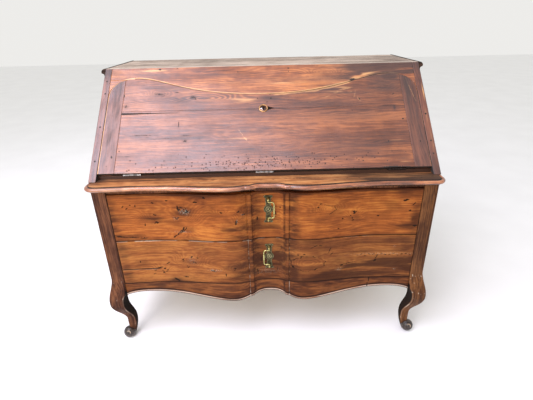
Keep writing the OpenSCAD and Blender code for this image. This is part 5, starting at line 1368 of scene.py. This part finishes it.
def make_handle(word, height, turn):
    """One handle: its plate, two pear-shaped posts, and the bail, a round bar with beads along its grip."""
    make_plate(word, height)
    pivot = np.array([HANDLE_X, FRONT - PIVOT_D, height])
    for end, mark in ((1, "top"), (-1, "bottom")):
        place = pivot + [0, 10, end * POST_GAP / 2]
        lathe(f"{word}_post_{mark}", POST_PROFILE, place, (0, -1, 0), word + "_drawer", BRASS,
              around=32)
    line = bail_line()
    ahead = np.gradient(line, axis=0)
    ahead /= np.maximum(np.linalg.norm(ahead, axis=1), 1e-9)[:, None]
    radius = BAIL_R + 0 * line[:, 0]
    on_grip = line[:, 0] > BAIL_REACH - 0.5
    for place, tall, wide in ((-9.5, 1.5, 2.6), (0, 1.5, 2.6), (9.5, 1.5, 2.6),
                              (-15.5, 0.5, 1.3), (15.5, 0.5, 1.3), (-4.75, 0.5, 1.3), (4.75, 0.5, 1.3)):
        radius = radius + tall * hump(line[:, 1] - place, wide) * on_grip
    around = np.linspace(0, 2 * np.pi, 20, endpoint=False)
    side_on = radius[:, None] * np.cos(around)
    rings = np.stack([turn * (line[:, :1] - side_on * ahead[:, 1:]), radius[:, None] * np.sin(around),
                      line[:, 1:] + side_on * ahead[:, :1]], -1) + pivot
    loft(word + "_bail_beaded", rings, word + "_bail", BRASS, None, [word + "_bail"])


# The studio, in metres: lamps as (name, place, aim, size, power, tint), the sky, and the floor's half width
LAMPS = [("overhead", (-1.00, -1.20, 2.65), (-0.2, -0.1, 0.75), 2.2, 96, (0.84, 0.82, 1.0)),
         ("front", (-1.5, -2.8, 1.6), (0, 0, 0.45), 1.2, 40, (1.0, 0.95, 0.88))]
SKY = (1.0, 0.99, 0.965, 1)
SKY_STRENGTH = 0.85
FLOOR_HALF = 12.0


def make_floor_and_light():
    """A plain pale floor, a broad soft lamp high to the left, a weaker one in front, and an even pale sky."""
    mesh = bpy.data.meshes.new("floor")
    corners = [(FLOOR_HALF * a, FLOOR_HALF * b, 0) for a, b in ((-1, -1), (1, -1), (1, 1), (-1, 1))]
    mesh.from_pydata(corners, [], [(0, 1, 2, 3)])
    floor = bpy.data.objects.new("floor", mesh)
    bpy.context.scene.collection.objects.link(floor)
    k = Recipe("pale floor")
    colour = k.ramp(k.noise(k.coordinates(), 3.0), (0.3, (0.86, 0.86, 0.86)), (0.7, (0.9, 0.9, 0.9)))
    k.fill(k.shader, {"Base Color": colour, "Roughness": 0.9})
    mesh.materials.append(k.material)
    for name, place, aim, size, power, tint in LAMPS:
        data = bpy.data.lights.new(name, "AREA")
        data.energy = power
        data.size = size
        data.color = tint
        lamp = bpy.data.objects.new(name, data)
        lamp.location = place
        lamp.rotation_euler = (Vector(aim) - Vector(place)).to_track_quat("-Z", "Y").to_euler()
        bpy.context.scene.collection.objects.link(lamp)
    world = bpy.data.worlds.new("sky")
    bpy.context.scene.world = world
    world.use_nodes = True
    background = world.node_tree.nodes["Background"]
    background.inputs["Color"].default_value = SKY
    background.inputs["Strength"].default_value = SKY_STRENGTH


# The camera: its turns in degrees, its place off the post fronts, and its focal length in picture pixels
PITCH, YAW, ROLL = 25.27, 0.02, -1.35
EYE = (4.0, FRONT - 1178.8, 1177.4)
FOCAL_PIXELS = 377.4
PICTURE_W = 533
SENSOR_W = 36


def make_camera():
    """The photograph's view: from over a metre in front, looking down, with a slight roll."""
    pitch, yaw, roll = (math.radians(angle) for angle in (PITCH, YAW, ROLL))
    ahead = Vector((math.cos(pitch) * math.sin(yaw), math.cos(pitch) * math.cos(yaw), -math.sin(pitch)))
    right = ahead.cross(Vector((0, 0, 1))).normalized()
    up = right.cross(ahead)
    rolled_right = math.cos(roll) * right + math.sin(roll) * up
    rolled_up = -math.sin(roll) * right + math.cos(roll) * up
    data = bpy.data.cameras.new("camera")
    data.sensor_width = SENSOR_W
    data.lens = SENSOR_W * FOCAL_PIXELS / PICTURE_W
    camera = bpy.data.objects.new("camera", data)
    turn = Matrix((rolled_right, rolled_up, -ahead)).transposed().to_4x4()
    camera.matrix_world = Matrix.Translation([place * MM for place in EYE]) @ turn
    bpy.context.scene.collection.objects.link(camera)
    bpy.context.scene.camera = camera
    bpy.context.scene.view_settings.view_transform = "Standard"


dress_frame()
make_lid()
make_rail()
make_stiles()
make_top()
make_pegs()
make_keyhole()
make_ledge()
make_drawers()
make_apron()
make_legs()
make_handle("upper", UPPER_BAIL_Z, 1)
make_handle("lower", LOWER_BAIL_Z, -1)
make_floor_and_light()
make_camera()
